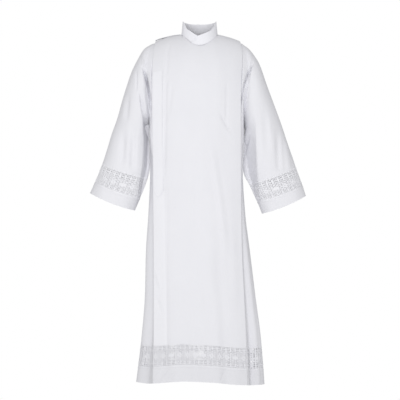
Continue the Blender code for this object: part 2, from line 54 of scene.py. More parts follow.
# %% [markdown]
# ## Sizes
#
# Metres, with +Z up, -Y the front and +X the wearer's left. Heights are given as a drop
# below the origin, which is between the two points where the shoulders meet the collar.
# The body widens steadily from the chest to the hem, so a few sections down its length
# are enough, and a smooth curve runs through them.

# %% The garment's own sizes
CLOTH = 0.0009  # thickness of the cloth as it is made here
BAND_CLOTH = CLOTH * 1.3  # of the hem bands and cuffs, which are turned up double
LACE_THREAD = 0.0008
CHEST = 0.24  # drop at which the cloth leaves the body and hangs
ARMPIT = 0.385
LACE_TOP = 1.303
LACE = 0.094  # height of the lace at the hem
HEM_BAND = 0.063
CUFF_BAND = 0.050
PLEAT_RADIUS = 0.0014
PLEAT_RETURN = 0.036  # what turns back under each pleat's edge
UNDERLAP = 0.052  # how far a side panel reaches in under the front or back
UNDER_DEPTH = 0.0054
NECK_HALF_WIDTH = 0.0755
NECK_FRONT = 0.092
NECK_BACK = 0.062
COLLAR_LEAN = 0.93
COLLAR_PASS = 26  # degrees that each end of the collar runs past the centre front
COLLAR_STEP = 0.0028
COLLAR_SPREAD = 50
COLLAR_FOOT = 0.0009
PLACKET_WIDTH = 0.043
PLACKET_EDGE = 0.005
PLACKET_POINT = 0.009
PLACKET_TOP = 0.153  # drop of its ends
PLACKET_FOOT = 0.660
PLACKET_TAPER = 0.026
PLACKET_RISE = 0.0018  # over the front
FLAP_EDGES = (-0.1855, -0.0820)
FLAP_FRONT = 0.016
FLAP_BACK = 0.014
FLAP_LIFT = 0.0050

# %% The shoulder line, the body's sections and the hem
Ridge = namedtuple("Ridge", "x drop")
RIDGE = [
    Ridge(-0.215, 0.0500),
    Ridge(-0.190, 0.0325),
    Ridge(-0.166, 0.0215),
    Ridge(-0.120, 0.0065),
    Ridge(-0.0755, 0.0000),
    Ridge(0.000, -0.0150),
    Ridge(0.0755, 0.0000),
    Ridge(0.124, 0.0120),
    Ridge(0.166, 0.0270),
    Ridge(0.200, 0.0500),
]
Section = namedtuple(
    "Section", "drop edge_right edge_left side_right side_left front_mid front_edge back_mid back_edge"
)
BODY = [
    Section(0.00, -0.1870, 0.1720, 0.212, 0.188, 0.136, 0.098, 0.126, 0.088),
    Section(0.05, -0.1935, 0.1800, 0.212, 0.188, 0.136, 0.098, 0.126, 0.088),
    Section(0.10, -0.1965, 0.1800, 0.212, 0.188, 0.136, 0.098, 0.126, 0.088),
    Section(0.16, -0.1980, 0.1760, 0.212, 0.188, 0.136, 0.098, 0.126, 0.088),
    Section(0.24, -0.1985, 0.1740, 0.212, 0.188, 0.136, 0.098, 0.126, 0.088),
    Section(0.385, -0.1985, 0.1735, 0.212, 0.188, 0.141, 0.102, 0.127, 0.088),
    Section(0.57, -0.1950, 0.1735, 0.208, 0.182, 0.143, 0.104, 0.128, 0.089),
    Section(0.75, -0.1930, 0.1745, 0.215, 0.192, 0.146, 0.108, 0.133, 0.095),
    Section(0.92, -0.1915, 0.1775, 0.226, 0.213, 0.152, 0.115, 0.141, 0.104),
    Section(1.10, -0.1910, 0.1860, 0.230, 0.235, 0.160, 0.124, 0.152, 0.116),
    Section(1.28, -0.1915, 0.1940, 0.244, 0.257, 0.169, 0.134, 0.165, 0.130),
    Section(1.48, -0.1955, 0.1995, 0.268, 0.272, 0.181, 0.148, 0.180, 0.146),
]
Hem = namedtuple("Hem", "x front back")
HEM = [
    Hem(-0.268, 1.464, 1.464),
    Hem(-0.200, 1.461, 1.462),
    Hem(-0.060, 1.450, 1.457),
    Hem(0.060, 1.455, 1.457),
    Hem(0.140, 1.464, 1.460),
    Hem(0.200, 1.468, 1.464),
    Hem(0.272, 1.472, 1.472),
]

# %% The armholes, the sleeves and the collar
ARMHOLE_TOP = {-1: 0.0395, 1: 0.0405}
ARMHOLE_DEPTH = 0.070
Armhole = namedtuple("Armhole", "share right left")
ARMHOLE = [
    Armhole(0.00, 0.199, 0.181),
    Armhole(0.12, 0.214, 0.195),
    Armhole(0.30, 0.222, 0.204),
    Armhole(0.52, 0.219, 0.198),
    Armhole(0.76, 0.214, 0.190),
    Armhole(1.00, 0.212, 0.188),
]
Sleeve = namedtuple("Sleeve", "share upper_x upper_drop lower_x lower_drop depth forward dip")
SLEEVE_RIGHT = [
    Sleeve(0.00, 0.1990, 0.0395, 0.2120, 0.385, 0.070, 0.000, 0.000),
    Sleeve(0.08, 0.2290, 0.0570, 0.2185, 0.425, 0.084, 0.001, 0.000),
    Sleeve(0.20, 0.2660, 0.1130, 0.2210, 0.465, 0.088, 0.002, 0.000),
    Sleeve(0.38, 0.3060, 0.2140, 0.2210, 0.510, 0.087, 0.004, 0.000),
    Sleeve(0.60, 0.3420, 0.3400, 0.2200, 0.550, 0.084, 0.008, 0.001),
    Sleeve(0.80, 0.3780, 0.4500, 0.2195, 0.580, 0.080, 0.013, 0.004),
    Sleeve(1.00, 0.4074, 0.5460, 0.2210, 0.606, 0.076, 0.018, 0.006),
    Sleeve(2.00, 0.4423, 0.6265, 0.2535, 0.693, 0.072, 0.022, 0.008),
    Sleeve(3.00, 0.4610, 0.6700, 0.2734, 0.7426, 0.070, 0.024, 0.008),
]
SLEEVE_LEFT = [
    Sleeve(0.00, 0.1830, 0.0405, 0.1880, 0.385, 0.070, 0.000, 0.000),
    Sleeve(0.08, 0.2090, 0.0610, 0.1935, 0.430, 0.084, 0.001, 0.000),
    Sleeve(0.20, 0.2460, 0.1130, 0.1940, 0.475, 0.088, 0.002, 0.000),
    Sleeve(0.38, 0.2850, 0.2140, 0.1930, 0.525, 0.087, 0.004, 0.000),
    Sleeve(0.60, 0.3315, 0.3400, 0.1930, 0.565, 0.084, 0.008, 0.001),
    Sleeve(0.80, 0.3700, 0.4550, 0.1955, 0.598, 0.080, 0.013, 0.004),
    Sleeve(1.00, 0.4040, 0.5600, 0.2080, 0.631, 0.076, 0.018, 0.006),
    Sleeve(2.00, 0.4345, 0.6400, 0.2450, 0.708, 0.072, 0.022, 0.008),
    Sleeve(3.00, 0.4480, 0.6810, 0.2640, 0.756, 0.070, 0.024, 0.008),
]
Collar = namedtuple("Collar", "angle height")
COLLAR = [
    # the wearer's left end, which lies on top
    Collar(-COLLAR_PASS, 0.0080),
    Collar(-18, 0.0180),
    Collar(-10, 0.0310),
    Collar(-5, 0.0385),
    Collar(0, 0.0418),
    Collar(12, 0.0458),
    Collar(28, 0.0450),
    Collar(42, 0.0426),
    Collar(52, 0.0430),
    Collar(60, 0.0470),
    Collar(67, 0.0545),
    Collar(90, 0.0530),
    Collar(180, 0.0500),
    # the wearer's right end, under it
    Collar(270, 0.0530),
    Collar(295, 0.0550),
    Collar(301, 0.0480),
    Collar(310, 0.0405),
    Collar(330, 0.0428),
    Collar(348, 0.0405),
    Collar(360, 0.0340),
    Collar(370, 0.0245),
    Collar(360 + COLLAR_PASS, 0.0070),
]

# %% [markdown]
# ## Reading the tables
#
# Each column of a table becomes a function: a cubic through its rows that never swings
# past them. It works on whole arrays of points, which is what keeps the script fast.


# %% Curves through a table
def smooth(table, key, column):
    at = np.array([getattr(row, key) for row in table], float)
    values = np.array([getattr(row, column) for row in table], float)
    rates = np.diff(values) / np.diff(at)
    slopes = np.concatenate([rates[:1], np.zeros(len(at) - 2), rates[-1:]])
    same_way = rates[:-1] * rates[1:] > 0
    total = np.where(same_way, rates[:-1] + rates[1:], 1.0)
    slopes[1:-1] = np.where(same_way, 2 * rates[:-1] * rates[1:] / total, 0.0)

    def read(where):
        where = np.asarray(where, float)
        i = np.clip(np.searchsorted(at, where) - 1, 0, len(at) - 2)
        span = at[i + 1] - at[i]
        t = np.clip((where - at[i]) / span, 0, 1)
        rise = values[i + 1] - values[i]
        start, end = slopes[i] * span, slopes[i + 1] * span
        bend = 3 * rise - 2 * start - end
        return values[i] + t * start + t * t * bend + t**3 * (start + end - 2 * rise)

    return read


def mix(a, b, share):
    return a + (b - a) * share


def share_of(a, b, where):
    return (where - a) / (b - a)


def ease(share):
    share = np.clip(share, 0, 1)
    return share * share * (3 - 2 * share)


def bell(distance):
    return np.where(np.abs(distance) < 1, (1 - distance * distance) ** 2, 0.0)


RIGHT, LEFT = -1, 1
FRONT, BACK = -1, 1
SIDE_NAME = {RIGHT: "right", LEFT: "left"}
FACE_NAME = {FRONT: "front", BACK: "back"}
ridge_drop = smooth(RIDGE, "x", "drop")
body = {name: smooth(BODY, "drop", name) for name in Section._fields[1:]}
hem_of = {FRONT: smooth(HEM, "x", "front"), BACK: smooth(HEM, "x", "back")}
collar_height = smooth(COLLAR, "angle", "height")
armhole_x = {RIGHT: smooth(ARMHOLE, "share", "right"), LEFT: smooth(ARMHOLE, "share", "left")}
side_x = {RIGHT: body["side_right"], LEFT: body["side_left"]}
sleeve = {
    RIGHT: {name: smooth(SLEEVE_RIGHT, "share", name) for name in Sleeve._fields[1:]},
    LEFT: {name: smooth(SLEEVE_LEFT, "share", name) for name in Sleeve._fields[1:]},
}
print("hem below the collar:", float(hem_of[FRONT](0.0)))

# %% [markdown]
# ## Folds
#
# Real cloth never hangs in one clean curve. Each fold is a line in the view from the front
# (or back), from its top to its foot, perhaps bowed. Across that line the cloth rises or
# sinks as a soft bell that may be steeper on one side, and along it the fold grows and
# dies away. They are listed one by one: sharp ones where a sleeve breaks at the arm, long
# soft ones down the body.
#
# Two kinds go deeper than a ripple in the surface. A sleeve's inner side falls away behind
# its sharpest fold, into a hollow, and the cloth beside the chest breaks into a slit. Both
# push the cloth straight in towards the middle of the garment, so they stay clean where
# the surface itself turns away.

# %% The folds of the front, the back, the sides and the sleeves
Fold = namedtuple("Fold", "top_x top_drop foot_x foot_drop bow minus plus depth grow fade")
FRONT_FOLDS = [
    Fold(0.015, 0.50, 0.070, 1.46, 0.000, 0.045, 0.045, 0.006, 1.00, 0.0),
    Fold(0.060, 0.70, 0.112, 1.46, 0.000, 0.036, 0.036, -0.004, 1.00, 0.0),
    Fold(-0.030, 0.95, -0.015, 1.46, 0.000, 0.040, 0.040, -0.007, 1.00, 0.0),
    Fold(-0.100, 0.80, -0.100, 1.46, 0.000, 0.045, 0.045, 0.006, 1.00, 0.0),
    # beside the zip
    Fold(-0.1278, 0.030, -0.1390, 0.190, 0.000, 0.012, 0.008, -0.0030, 0.30, 0.25),
    Fold(-0.1395, 0.185, -0.1480, 0.620, 0.000, 0.007, 0.010, -0.0036, 0.10, 0.15),
    Fold(-0.1090, 0.200, -0.1260, 0.365, -0.004, 0.014, 0.010, -0.0026, 0.30, 0.40),
    Fold(-0.1345, 0.640, -0.1345, 1.330, 0.000, 0.012, 0.010, -0.0018, 0.15, 0.05),
    Fold(-0.1850, 0.980, -0.1600, 1.080, 0.000, 0.008, 0.008, 0.0024, 0.35, 0.45),
    Fold(-0.1820, 1.100, -0.1560, 1.180, 0.000, 0.008, 0.010, -0.0024, 0.35, 0.45),
    # the wearer's left front
    Fold(0.1140, 0.190, 0.1120, 0.400, 0.001, 0.009, 0.006, -0.0026, 0.25, 0.15),
    Fold(0.0830, 0.330, 0.1430, 0.432, -0.006, 0.007, 0.008, -0.0042, 0.30, 0.30),
    Fold(0.0300, 0.400, 0.1140, 1.000, 0.010, 0.018, 0.026, 0.0055, 0.35, 0.35),
    Fold(0.1330, 0.720, 0.1500, 1.200, 0.000, 0.026, 0.026, 0.0030, 0.40, 0.45),
    Fold(-0.0170, 0.480, -0.0190, 0.900, 0.002, 0.020, 0.020, -0.0020, 0.30, 0.40),
    Fold(0.0360, 1.000, 0.0560, 1.340, 0.000, 0.040, 0.034, -0.0040, 0.60, 0.15),
    # short pulls in the hem
    Fold(-0.1960, 1.455, -0.1560, 1.398, 0.000, 0.008, 0.008, 0.0022, 0.25, 0.35),
    Fold(-0.1660, 1.455, -0.1180, 1.396, 0.000, 0.008, 0.009, 0.0024, 0.25, 0.35),
    Fold(-0.1300, 1.452, -0.0960, 1.400, 0.000, 0.007, 0.008, -0.0020, 0.25, 0.35),
    Fold(0.1060, 1.400, 0.0860, 1.455, 0.000, 0.009, 0.010, -0.0020, 0.35, 0.25),
]
BACK_FOLDS = [
    Fold(-0.040, 0.45, -0.095, 1.46, 0.000, 0.045, 0.045, 0.010, 1.00, 0.0),
    Fold(0.010, 0.60, 0.005, 1.46, 0.000, 0.040, 0.040, -0.009, 1.00, 0.0),
    Fold(0.060, 0.40, 0.100, 1.46, 0.000, 0.050, 0.050, 0.011, 1.00, 0.0),
    Fold(-0.120, 0.16, -0.105, 0.52, 0.004, 0.016, 0.012, -0.0034, 0.25, 0.40),
    Fold(0.104, 0.15, 0.096, 0.48, -0.004, 0.012, 0.016, -0.0036, 0.25, 0.40),
    Fold(-0.010, 0.12, 0.022, 0.36, 0.005, 0.020, 0.016, -0.0026, 0.35, 0.45),
    Fold(-0.075, 0.90, -0.060, 1.30, 0.000, 0.022, 0.026, -0.0034, 0.35, 0.25),
    Fold(0.130, 0.75, 0.140, 1.25, 0.002, 0.016, 0.014, -0.0026, 0.30, 0.30),
]
SLEEVE_FRONT_FOLDS = {
    RIGHT: [
        # the cap
        Fold(-0.2230, 0.074, -0.1940, 0.108, 0.002, 0.010, 0.006, -0.0055, 0.25, 0.25),
        Fold(-0.2400, 0.090, -0.2340, 0.150, 0.000, 0.006, 0.006, 0.0045, 0.30, 0.30),
        Fold(-0.2660, 0.150, -0.2640, 0.250, 0.000, 0.006, 0.007, -0.0040, 0.30, 0.35),
        # the break at the arm
        Fold(-0.2400, 0.130, -0.2180, 0.300, 0.010, 0.010, 0.016, -0.0100, 0.22, 0.20),
        Fold(-0.2510, 0.240, -0.2080, 0.520, 0.003, 0.009, 0.016, -0.0160, 0.20, 0.10),
        # lower down
        Fold(-0.2720, 0.370, -0.2800, 0.580, 0.000, 0.020, 0.018, -0.0070, 0.45, 0.20),
        Fold(-0.3160, 0.390, -0.3260, 0.570, 0.000, 0.020, 0.020, -0.0065, 0.45, 0.25),
        Fold(-0.2980, 0.240, -0.3080, 0.390, 0.000, 0.016, 0.014, -0.0045, 0.40, 0.40),
    ],
    LEFT: [
        Fold(0.2260, 0.110, 0.1860, 0.270, -0.004, 0.018, 0.007, -0.0120, 0.18, 0.15),
        Fold(0.2050, 0.215, 0.1900, 0.300, 0.000, 0.006, 0.006, 0.0060, 0.30, 0.30),
        Fold(0.2080, 0.415, 0.1800, 0.565, 0.004, 0.010, 0.010, -0.0070, 0.30, 0.20),
        Fold(0.3280, 0.380, 0.3340, 0.590, 0.000, 0.020, 0.014, -0.0060, 0.50, 0.15),
        Fold(0.3600, 0.400, 0.3740, 0.590, 0.000, 0.016, 0.018, 0.0040, 0.50, 0.20),
        Fold(0.2680, 0.280, 0.2880, 0.560, 0.003, 0.026, 0.018, -0.0050, 0.45, 0.35),
    ],
}
SLEEVE_BACK_FOLDS = {
    RIGHT: [
        Fold(-0.2360, 0.130, -0.2090, 0.360, 0.008, 0.014, 0.022, -0.0110, 0.20, 0.15),
        Fold(-0.2480, 0.250, -0.2400, 0.640, 0.002, 0.010, 0.044, -0.0150, 0.20, 0.02),
        Fold(-0.2950, 0.330, -0.3180, 0.560, 0.000, 0.016, 0.014, -0.0050, 0.35, 0.20),
        Fold(-0.3350, 0.420, -0.3560, 0.560, 0.000, 0.014, 0.012, -0.0040, 0.35, 0.20),
    ],
    LEFT: [
        Fold(0.2200, 0.120, 0.1880, 0.330, -0.006, 0.020, 0.014, -0.0110, 0.20, 0.15),
        Fold(0.2320, 0.270, 0.2360, 0.640, -0.002, 0.044, 0.012, -0.0150, 0.20, 0.02),
        Fold(0.2820, 0.340, 0.3040, 0.570, 0.000, 0.016, 0.012, -0.0050, 0.35, 0.20),
        Fold(0.3380, 0.440, 0.3500, 0.570, 0.000, 0.012, 0.014, -0.0040, 0.35, 0.20),
    ],
}
# Below its sharpest fold a sleeve turns back towards the body, into a deep hollow.
Hollow = namedtuple("Hollow", "top_x top_drop foot_x foot_drop bow reach depth grow fade")
HOLLOWS = {
    (RIGHT, FRONT): Hollow(-0.2400, 0.330, -0.2760, 0.760, -0.014, 0.026, 0.060, 0.25, 0.30),
    (LEFT, FRONT): Hollow(0.2390, 0.285, 0.2640, 0.760, -0.012, 0.045, 0.056, 0.60, 0.25),
    (RIGHT, BACK): Hollow(-0.2400, 0.280, -0.2700, 0.760, -0.012, 0.040, 0.050, 0.50, 0.30),
    (LEFT, BACK): Hollow(0.2320, 0.270, 0.2600, 0.760, -0.012, 0.040, 0.050, 0.50, 0.25),
}
# Beside the chest the cloth breaks in one deep fold, across the armhole's seam.
SLITS = {
    (RIGHT, FRONT): Fold(-0.2380, 0.140, -0.2110, 0.420, 0.018, 0.008, 0.007, 0.032, 0.20, 0.40),
    (LEFT, FRONT): Fold(0.2290, 0.118, 0.1790, 0.400, -0.026, 0.007, 0.006, 0.017, 0.20, 0.40),
    (RIGHT, BACK): Fold(-0.2360, 0.150, -0.2090, 0.400, 0.014, 0.007, 0.007, 0.022, 0.25, 0.20),
    (LEFT, BACK): Fold(0.2240, 0.140, 0.1840, 0.400, -0.020, 0.007, 0.007, 0.022, 0.25, 0.20),
}


# %% How far the cloth stands out at a point
def fold_depth(folds, x, drop):
    out = np.zeros_like(x)
    for fold in folds:
        share = share_of(fold.top_drop, fold.foot_drop, drop)
        along = ease(share / fold.grow) if fold.grow < 1 else np.clip(share, 0, 1)
        if fold.fade > 0:
            along = along * ease((1 - share) / fold.fade)
        line = mix(fold.top_x, fold.foot_x, share) + fold.bow * 4 * share * (1 - share)
        away = x - line
        out += fold.depth * along * bell(away / np.where(away < 0, fold.minus, fold.plus))
    return out


def slit_depth(side, face, x, drop):
    """How far the deep fold beside the chest goes in."""
    return fold_depth([SLITS[side, face]], x, drop)


def hollow_depth(side, face, x, drop):
    """How far a sleeve falls in on the body's side of its sharpest fold."""
    dent = HOLLOWS[side, face]
    share = share_of(dent.top_drop, dent.foot_drop, drop)
    along = ease(share / dent.grow) * ease((1 - share) / dent.fade)
    line = mix(dent.top_x, dent.foot_x, share) + side * dent.bow * 4 * share * (1 - share)
    inward = np.clip((line - x) * side / dent.reach, 0, 1)
    return dent.depth * along * (1 - (1 - inward) ** 2)


def ripple(x, drop):
    """The faint unevenness of all cloth that hangs, under a millimetre deep."""
    slow = np.sin(x * 41 + np.sin(drop * 5.3) * 1.7 + drop * 2.1)
    fast = np.sin(x * 93 - drop * 6.7 + np.sin(drop * 11.0 + x * 9) * 1.3)
    return 0.0007 * slow + 0.0004 * fast


# %% [markdown]
# ## The surfaces
#
# Every piece of the garment lies on one of a few surfaces: the front and back, the side
# panels that reach in under them, the sleeves, and the collar. Each surface is a function
# of two shares, so a flat grid can be laid on it point by point.

# %% The front and the back
PANEL_POWER = 2.2
YOKE_POWER = {FRONT: 2.0, BACK: 2.5}
NECK_DEPTH = {FRONT: NECK_FRONT, BACK: NECK_BACK}
PANEL_FOLDS = {FRONT: FRONT_FOLDS, BACK: BACK_FOLDS}
PANEL_WIDTH = float(body["edge_left"](0) - body["edge_right"](0))
STEP = 1e-3


def points(x, y, z):
    return np.stack(np.broadcast_arrays(x, y, z), axis=-1)


def unit(vectors):
    return vectors / np.maximum(np.linalg.norm(vectors, axis=-1, keepdims=True), 1e-12)


def depth_at(face, x, drop):
    mid = body[FACE_NAME[face] + "_mid"](drop)
    edge = body[FACE_NAME[face] + "_edge"](drop)
    right, left = body["edge_right"](drop), body["edge_left"](drop)
    off_centre = np.abs(x - (right + left) / 2) / ((left - right) / 2)
    return mid - (mid - edge) * off_centre**PANEL_POWER


def yoke_z(face, x, y):
    power = YOKE_POWER[face]
    across = np.minimum(1.0, np.abs(y) / depth_at(face, x, CHEST))
    fall = 1 - (1 - across**power) ** (1 / power)
    return -ridge_drop(x) - (CHEST - ridge_drop(x)) * fall


def neck_y(face, x):
    return NECK_DEPTH[face] * np.sqrt(np.maximum(0.0, 1 - (x / NECK_HALF_WIDTH) ** 2))


def hanging_drop(face, x, v):
    hem = hem_of[face](x)
    stops = [CHEST + 0 * hem, hem - HEM_BAND - LACE, hem - HEM_BAND, hem]
    i = np.clip(v - 1, 0, 2).astype(int)
    i = np.minimum(i, 2)
    low = np.choose(i, stops[:3])
    high = np.choose(i, stops[1:])
    return mix(low, high, v - 1 - i)


def panel_point(face, u, v):
    """u runs from the wearer's right edge to the left, v from 0 at the shoulder through 1
    at the chest, 2 and 3 at the lace's top and foot, to 4 at the hem."""
    u, v = np.broadcast_arrays(np.asarray(u, float), np.asarray(v, float))
    up = np.minimum(v, 1)
    drop = CHEST * (1 - np.cos(up * math.pi / 2))
    x = mix(body["edge_right"](drop), body["edge_left"](drop), u)
    top_x = mix(body["edge_right"](0), body["edge_left"](0), u)
    start = np.arcsin(neck_y(face, top_x) / depth_at(face, top_x, CHEST))
    y = depth_at(face, x, CHEST) * np.sin(mix(start, math.pi / 2, up))
    over = points(x, face * y, yoke_z(face, x, y))
    down = np.maximum(v, 1)
    x = mix(body["edge_right"](CHEST), body["edge_left"](CHEST), u)
    for _ in range(3):  # x depends on the drop, and the hem's drop on x
        drop = hanging_drop(face, x, down)
        x = mix(body["edge_right"](drop), body["edge_left"](drop), u)
    hung = points(x, face * depth_at(face, x, drop), -drop)
    return np.where((v <= 1)[..., None], over, hung)


def normal_of(surface, u, v, inside):
    """Unit normals of a surface, turned away from the points inside."""
    across = surface(u + STEP, v) - surface(u - STEP, v)
    down = surface(u, v + STEP) - surface(u, v - STEP)
    n = unit(np.cross(down, across))
    facing = np.sum(n * (surface(u, v) - inside), axis=-1, keepdims=True)
    return np.where(facing > 0, n, -n)


def panel_normal(face, u, v):
    point = panel_point(face, u, v)
    inside = point * (0.9, 0, 1) - (0, 0, 0.1)
    n = normal_of(lambda a, b: panel_point(face, a, b), u, v, inside)
    # On the shoulder's ridge the front and back meet, and both point straight up.
    flat = np.clip(np.abs(point[..., 1:2]) / 0.01, 0, 1)
    return unit(n * np.concatenate([np.ones_like(flat), flat, np.ones_like(flat)], axis=-1))


def panel_relief(face, point):
    """The folds and ripples of the front or back, none at the seams of the shoulder."""
    x, drop = point[..., 0], -point[..., 2]
    free = ease((drop - ridge_drop(x) - 0.02) / 0.10)
    return fold_depth(PANEL_FOLDS[face], x, drop) + ripple(x, drop + face * 0.4) * free


def on_panel(face, u, v, height=0.0):
    """Points at a height over the front or back, with its folds in them."""
    point = panel_point(face, u, v)
    n = panel_normal(face, u, v)
    return point + n * (panel_relief(face, point) + height)[..., None], n


# %% The side panels
RIDGE_END = 0.0315
SIDE_ROUND = 0.38
SQUARE_FROM = 0.75
Crimp = namedtuple("Crimp", "at top_drop foot_drop lean width depth grow fade")
SIDE_CRIMPS = {
    (RIGHT, FRONT): [
        Crimp(1.18, 0.10, 0.62, 0.02, 0.16, -0.014, 0.20, 0.30),
        Crimp(1.34, 0.42, 1.60, 0.00, 0.46, -0.030, 0.25, 0.0),
        Crimp(1.60, 0.62, 1.46, 0.10, 0.22, 0.004, 1.0, 0.0),
    ],
    (LEFT, FRONT): [
        Crimp(1.14, 0.09, 0.62, 0.00, 0.12, -0.006, 0.20, 0.30),
        Crimp(1.14, 0.55, 1.60, 0.12, 0.22, -0.036, 0.90, 0.0),
        Crimp(1.62, 0.80, 1.46, 0.02, 0.16, 0.008, 1.0, 0.0),
    ],
    (RIGHT, BACK): [
        Crimp(1.15, 0.40, 1.60, 0.00, 0.12, -0.018, 0.40, 0.0),
        Crimp(1.55, 0.50, 1.46, 0.10, 0.20, 0.006, 1.0, 0.0),
    ],
    (LEFT, BACK): [
        Crimp(1.18, 0.40, 1.60, 0.04, 0.14, -0.022, 0.40, 0.0),
        Crimp(1.60, 0.70, 1.46, 0.00, 0.18, 0.007, 1.0, 0.0),
    ],
}


def row_v(theta):
    """The panels' v for a row that meets the armhole at an angle from its top."""
    drop = mix(RIDGE_END, ARMPIT, (1 - np.cos(theta)) / 2)
    above = np.clip(share_of(RIDGE_END, CHEST, drop), 0, 1)
    v = np.arccos(1 - above) * 2 / math.pi
    return np.where(drop <= CHEST, np.copysign(v, theta), 1 + share_of(CHEST, LACE_TOP, drop))


def panel_v(row):
    """The panels' v for a row shared by them all: 1 is the armpit, 2 the lace's top."""
    row = np.asarray(row, float)
    lower = mix(row_v(np.float64(math.pi)), 2.0, row - 1)
    return np.where(row <= 1, row_v(row * math.pi), np.where(row <= 2, lower, row))


def armhole_point(side, theta, face):
    share = (1 - np.cos(theta)) / 2
    drop = mix(ARMHOLE_TOP[side], ARMPIT, share)
    return points(side * armhole_x[side](share), face * ARMHOLE_DEPTH * np.sin(theta), -drop)


def tucked(side, face, u, row):
    """The part of a side panel that lies under the front or back, u from 0 to 1."""
    edge = 0.0 if side == RIGHT else 1.0
    at = edge - side * UNDERLAP * (1 - u) / PANEL_WIDTH
    v = panel_v(row)
    return panel_point(face, at, v) - UNDER_DEPTH * panel_normal(face, at, v)


def side_point(side, face, u, row):
    """u runs from 0 at its end under the front or back, through 1 at their edge, to 2 at
    the armhole or side seam."""
    u, row = np.broadcast_arrays(np.asarray(u, float), np.asarray(row, float))
    under = tucked(side, face, np.minimum(u, 1), row)
    start = tucked(side, face, np.ones_like(u), row)
    heading = unit(start - tucked(side, face, np.full_like(u, 0.9), row))
    drop = -start[..., 2]
    seam_x = side * side_x[side](drop)
    hem_drop = hanging_drop(face, seam_x, np.maximum(panel_v(row), 1))
    seam = points(seam_x, 0 * seam_x, -np.where(row > 2, hem_drop, drop))
    hole = armhole_point(side, np.clip(row, 0, 1) * math.pi, face)
    end = np.where((row <= 1)[..., None], hole, seam)
    chord = end - start
    length = np.linalg.norm(chord, axis=-1, keepdims=True)
    square = ease(share_of(SQUARE_FROM, 1.0, row))[..., None]
    arrival = unit(unit(chord) * (1 - square) + np.array([0.0, -face, 0.0]) * square)
    reach = 0.8 * np.abs(chord[..., :1]) / np.maximum(0.3, np.abs(heading[..., :1]))
    first = start + heading * np.minimum(length * SIDE_ROUND, reach)
    second = end - arrival * length * SIDE_ROUND
    t = np.maximum(u - 1, 0)[..., None]
    near = start * (1 - t) ** 3 + first * 3 * t * (1 - t) ** 2
    bent = near + second * 3 * t * t * (1 - t) + end * t**3
    return np.where((u <= 1)[..., None], under, bent)


def on_side(side, face, u, row, height=0.0):
    point = side_point(side, face, u, row)
    inside = point * (0, 0, 1) - (0, 0, 0.05)
    beside = np.where(np.abs(u - 1) < 5 * STEP, u - 5 * STEP, u)
    surface = lambda a, b: side_point(side, face, a, b)
    n = normal_of(surface, beside, np.clip(row, 4 * STEP, 4 - 2 * STEP), inside)
    drop = -point[..., 2]
    relief = panel_relief(face, point) * (1 - ease((u - 1) / 0.4))
    seam = 1 - ease((u - 1.8) / 0.2)
    for crimp in SIDE_CRIMPS[side, face]:
        share = share_of(crimp.top_drop, crimp.foot_drop, drop)
        middle = crimp.at + crimp.lean * share
        along = ease(share / crimp.grow)
        if crimp.fade > 0:
            along = along * ease((1 - share) / crimp.fade)
        open_cloth = ease((u - 1) / 0.08) * seam
        relief += crimp.depth * along * bell((u - middle) / crimp.width) * open_cloth
    laid = point + n * (relief + height)[..., None]
    laid[..., 1] -= face * slit_depth(side, face, point[..., 0], drop) * ease((u - 1) / 0.08)
    return laid, n


# %% The sleeves and the collar
SUNK_SHARE = 0.8  # the most that hollow and slit take of a sleeve's half depth


def sleeve_point(side, theta, s):
    """theta is 0 along the line over the arm and pi along the line under it, negative on
    the front. s is 0 at the armhole, 1 and 2 at the lace's top and foot, and 3 at the cuff."""
    at = sleeve[side]
    share = (1 - np.cos(theta)) / 2
    x = mix(at["upper_x"](s), at["lower_x"](s), share)
    flat = mix(at["upper_x"](0), at["lower_x"](0), share)
    x = x + (armhole_x[side](share) - flat) * np.maximum(0.0, 1 - s) ** 3
    drop = mix(at["upper_drop"](s), at["lower_drop"](s), share)
    drop = drop + at["dip"](s) * np.sin(theta) ** 2
    y = at["depth"](s) * np.sin(theta) - at["forward"](s)
    return points(side * x, y, -drop)


def rest_on_body(side, theta, point):
    """How far the sleeve's inner side swings in, to hang against the body."""
    out, drop = side * point[..., 0], -point[..., 2]
    edge = np.where(side > 0, body["edge_left"](drop), -body["edge_right"](drop))
    round_side = np.sqrt(np.clip(1 - (point[..., 1] / 0.10) ** 2, 0, 1))
    against = edge + (side_x[side](drop) - edge) * round_side + 0.0022
    inner = ease(((1 - np.cos(theta)) / 2 - 0.70) / 0.28)
    below = ease((drop - 0.39) / 0.05) * (1 - ease((drop - 0.55) / 0.085))
    return -np.clip(np.minimum(0.011 * inner * below, out - against), 0, None)


def on_sleeve(side, theta, s, height=0.0):
    theta, s = np.broadcast_arrays(np.asarray(theta, float), np.asarray(s, float))
    point = sleeve_point(side, theta, s)
    middle = (sleeve_point(side, 0 * theta, s) + sleeve_point(side, 0 * theta + math.pi, s)) / 2
    n = normal_of(lambda a, b: sleeve_point(side, a, b), theta, np.maximum(s, 0.01), middle)
    x, drop = point[..., 0], -point[..., 2]
    # Folds fade out round the arm, so that a front one ends before the back begins.
    ahead = ease(-np.sin(theta) * 2.2)
    behind = ease(np.sin(theta) * 2.2)
    relief = fold_depth(SLEEVE_FRONT_FOLDS[side], x, drop) * ahead
    relief += fold_depth(SLEEVE_BACK_FOLDS[side], x, drop) * behind
    relief += ripple(x * 1.2, drop + side * 0.3) * 1.3
    relief = relief * ease(s / 0.06)
    laid = point + n * (relief + height)[..., None]
    for face in (FRONT, BACK):
        back = face * point[..., 1]
        sunk = hollow_depth(side, face, x, drop) + slit_depth(side, face, x, drop)
        sunk = np.minimum(sunk, SUNK_SHARE * np.clip(back, 0, None))
        laid[..., 1] -= face * sunk
    laid[..., 0] += side * rest_on_body(side, theta, laid)
    return laid, n


